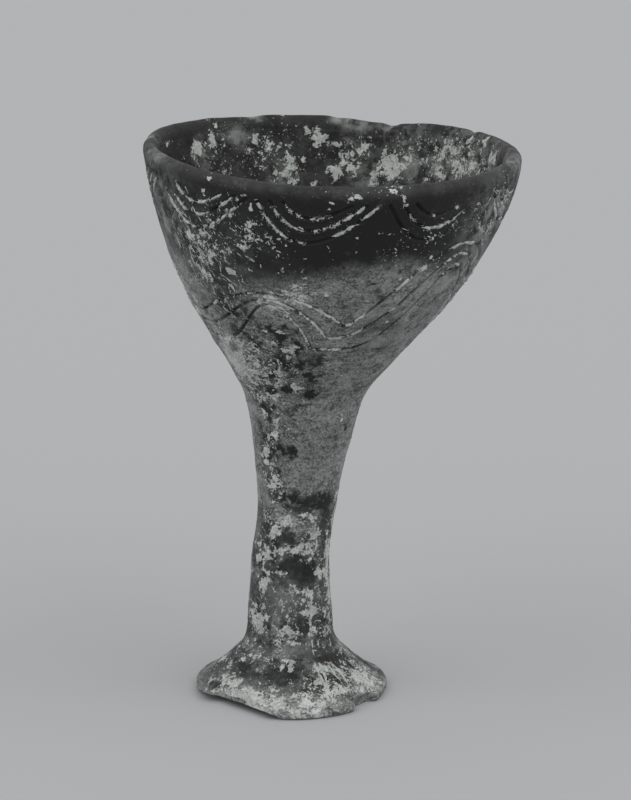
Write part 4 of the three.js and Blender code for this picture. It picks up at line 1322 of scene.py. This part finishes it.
def bowl_floor_outline():
    round_top = BOWL_FLOOR + FLOOR_ROUND
    side = float(inner_radius(round_top - FLOOR_EASE_IN)), round_top - FLOOR_EASE_DOWN
    corner = float(inner_radius(BOWL_FLOOR)), BOWL_FLOOR
    return (
        hidden((BOWL_SOCKET_RADIUS, BOWL_SEAT + CLEARANCE), (BOWL_SEAT_RADIUS, BOWL_SEAT + CLEARANCE)),
        skin(OUTSIDE, BOWL_RING_LOW, LOWER_WALL_BASE, 34),
        hidden(lap_joint(LOWER_WALL_BASE, -JOINT_EASE)),
        skin(INSIDE, LOWER_WALL_BASE + LAP, round_top, 18),
        curved(INSIDE, (side, corner, (PATCH_RADIUS - PATCH_OVERLAP, BOWL_FLOOR)), 8),
        hidden((BOWL_SOCKET_RADIUS, BOWL_FLOOR)),
    )


def floor_patch_outline():
    base = BOWL_FLOOR + CLEARANCE
    top = base + PATCH_CROWN
    return (
        hidden((PATCH_CORE, base), (PATCH_RADIUS, base)),
        curved(INSIDE, ((PATCH_RADIUS, base + PATCH_EDGE), (BOWL_TENON_RADIUS, top), (PATCH_CORE, top)), 24),
    )


def lower_wall_outline():
    return (
        skin(OUTSIDE, LOWER_WALL_BASE, UPPER_WALL_BASE, 112),
        hidden(lap_joint(UPPER_WALL_BASE, -JOINT_EASE)),
        skin(INSIDE, UPPER_WALL_BASE + LAP, LOWER_WALL_BASE + LAP, 44),
        hidden(lap_joint(LOWER_WALL_BASE, JOINT_EASE)),
    )


def lip_radii():
    """The radii of the lip's outer side, middle and inner side."""
    outer, inner = float(outer_radius(LIP_BASE)), float(inner_radius(LIP_BASE))
    return outer, (outer + inner) / 2, inner


def upper_wall_outline():
    _, middle, _ = lip_radii()
    return (
        skin(OUTSIDE, UPPER_WALL_BASE, LIP_BASE, 48),
        hidden((middle, LIP_BASE - JOINT_EASE)),
        skin(INSIDE, LIP_BASE, UPPER_WALL_BASE + LAP, 26),
        hidden(lap_joint(UPPER_WALL_BASE, JOINT_EASE)),
    )


def rim_coil_outline():
    outer, middle, inner = lip_radii()
    top = (middle, LIP_TOP)
    return (
        curved(OUTSIDE, ((outer, LIP_BASE), (outer + LIP_ROLL_OUT, LIP_SHOULDER), top), 20),
        curved(INSIDE, (top, (inner + LIP_ROLL_IN, LIP_SHOULDER), (inner, LIP_BASE)), 16)[1:],
        hidden((middle, LIP_BASE + COIL_EASE_UP)),
    )


# The clay pieces: outline, points round the axis, and slot
CLAY_PIECES = {
    "foot": (foot_outline, 480, "fired_clay"),
    "stem": (stem_outline, 260, "fired_clay"),
    "lower_luting_coil": (lower_coil_outline, 300, "fired_clay"),
    "upper_luting_coil": (upper_coil_outline, 320, "fired_clay"),
    "bowl_floor": (bowl_floor_outline, 420, "fired_clay"),
    "floor_patch": (floor_patch_outline, 160, "fired_clay"),
    "lower_wall": (lower_wall_outline, 620, "fired_clay"),
    "upper_wall": (upper_wall_outline, 1000, "smoked_clay"),
    "rim_coil": (rim_coil_outline, 900, "smoked_clay"),
}


def stage():
    """A plain pale floor, soft light from above and both sides, and the photograph's viewpoint."""
    sides = ((-1, -1), (1, -1), (1, 1), (-1, 1))
    corners = [(x * FLOOR_HALF, y * FLOOR_HALF, -FLOOR_DROP * MM) for x, y in sides]
    mesh = bpy.data.meshes.new("floor")
    mesh.from_pydata(corners, [], [(0, 1, 2, 3)])
    mesh.materials.append(floor_material())
    floor = placed("floor", mesh)
    world = bpy.data.worlds.new("studio")
    world.use_nodes = True
    background = world.node_tree.nodes["Background"].inputs
    background["Color"].default_value = (1, 1, 1, 1)
    background["Strength"].default_value = SKY_LIGHT
    bpy.context.scene.world = world
    for name, (strength, spread, tilt, turn) in SUNS.items():
        lamp = bpy.data.lights.new(name, "SUN")
        lamp.energy = strength
        lamp.angle = np.radians(spread)
        placed(name, lamp).rotation_euler = (np.radians(tilt), 0, np.radians(turn))
    camera = bpy.data.cameras.new("viewpoint")
    camera.sensor_fit = "VERTICAL"
    camera.sensor_height = PICTURE_HEIGHT
    camera.lens = LENS
    holder = placed("viewpoint", camera)
    holder.location = [place * MM for place in VIEWPOINT]
    holder.rotation_euler = (np.radians(90 - LOOKING_DOWN), 0, 0)
    bpy.context.scene.camera = holder
    bpy.context.scene.view_settings.view_transform = "Standard"


STRAND_TREE = strand_tree()

stage()
lime = lime_material()
lime_strands(lime)
clay = clay_material()
skins = [turned_piece(name, np.vstack(outline()), columns, slot, clay)
         for name, (outline, columns, slot) in CLAY_PIECES.items()]
lime_crumbs(skins, lime)
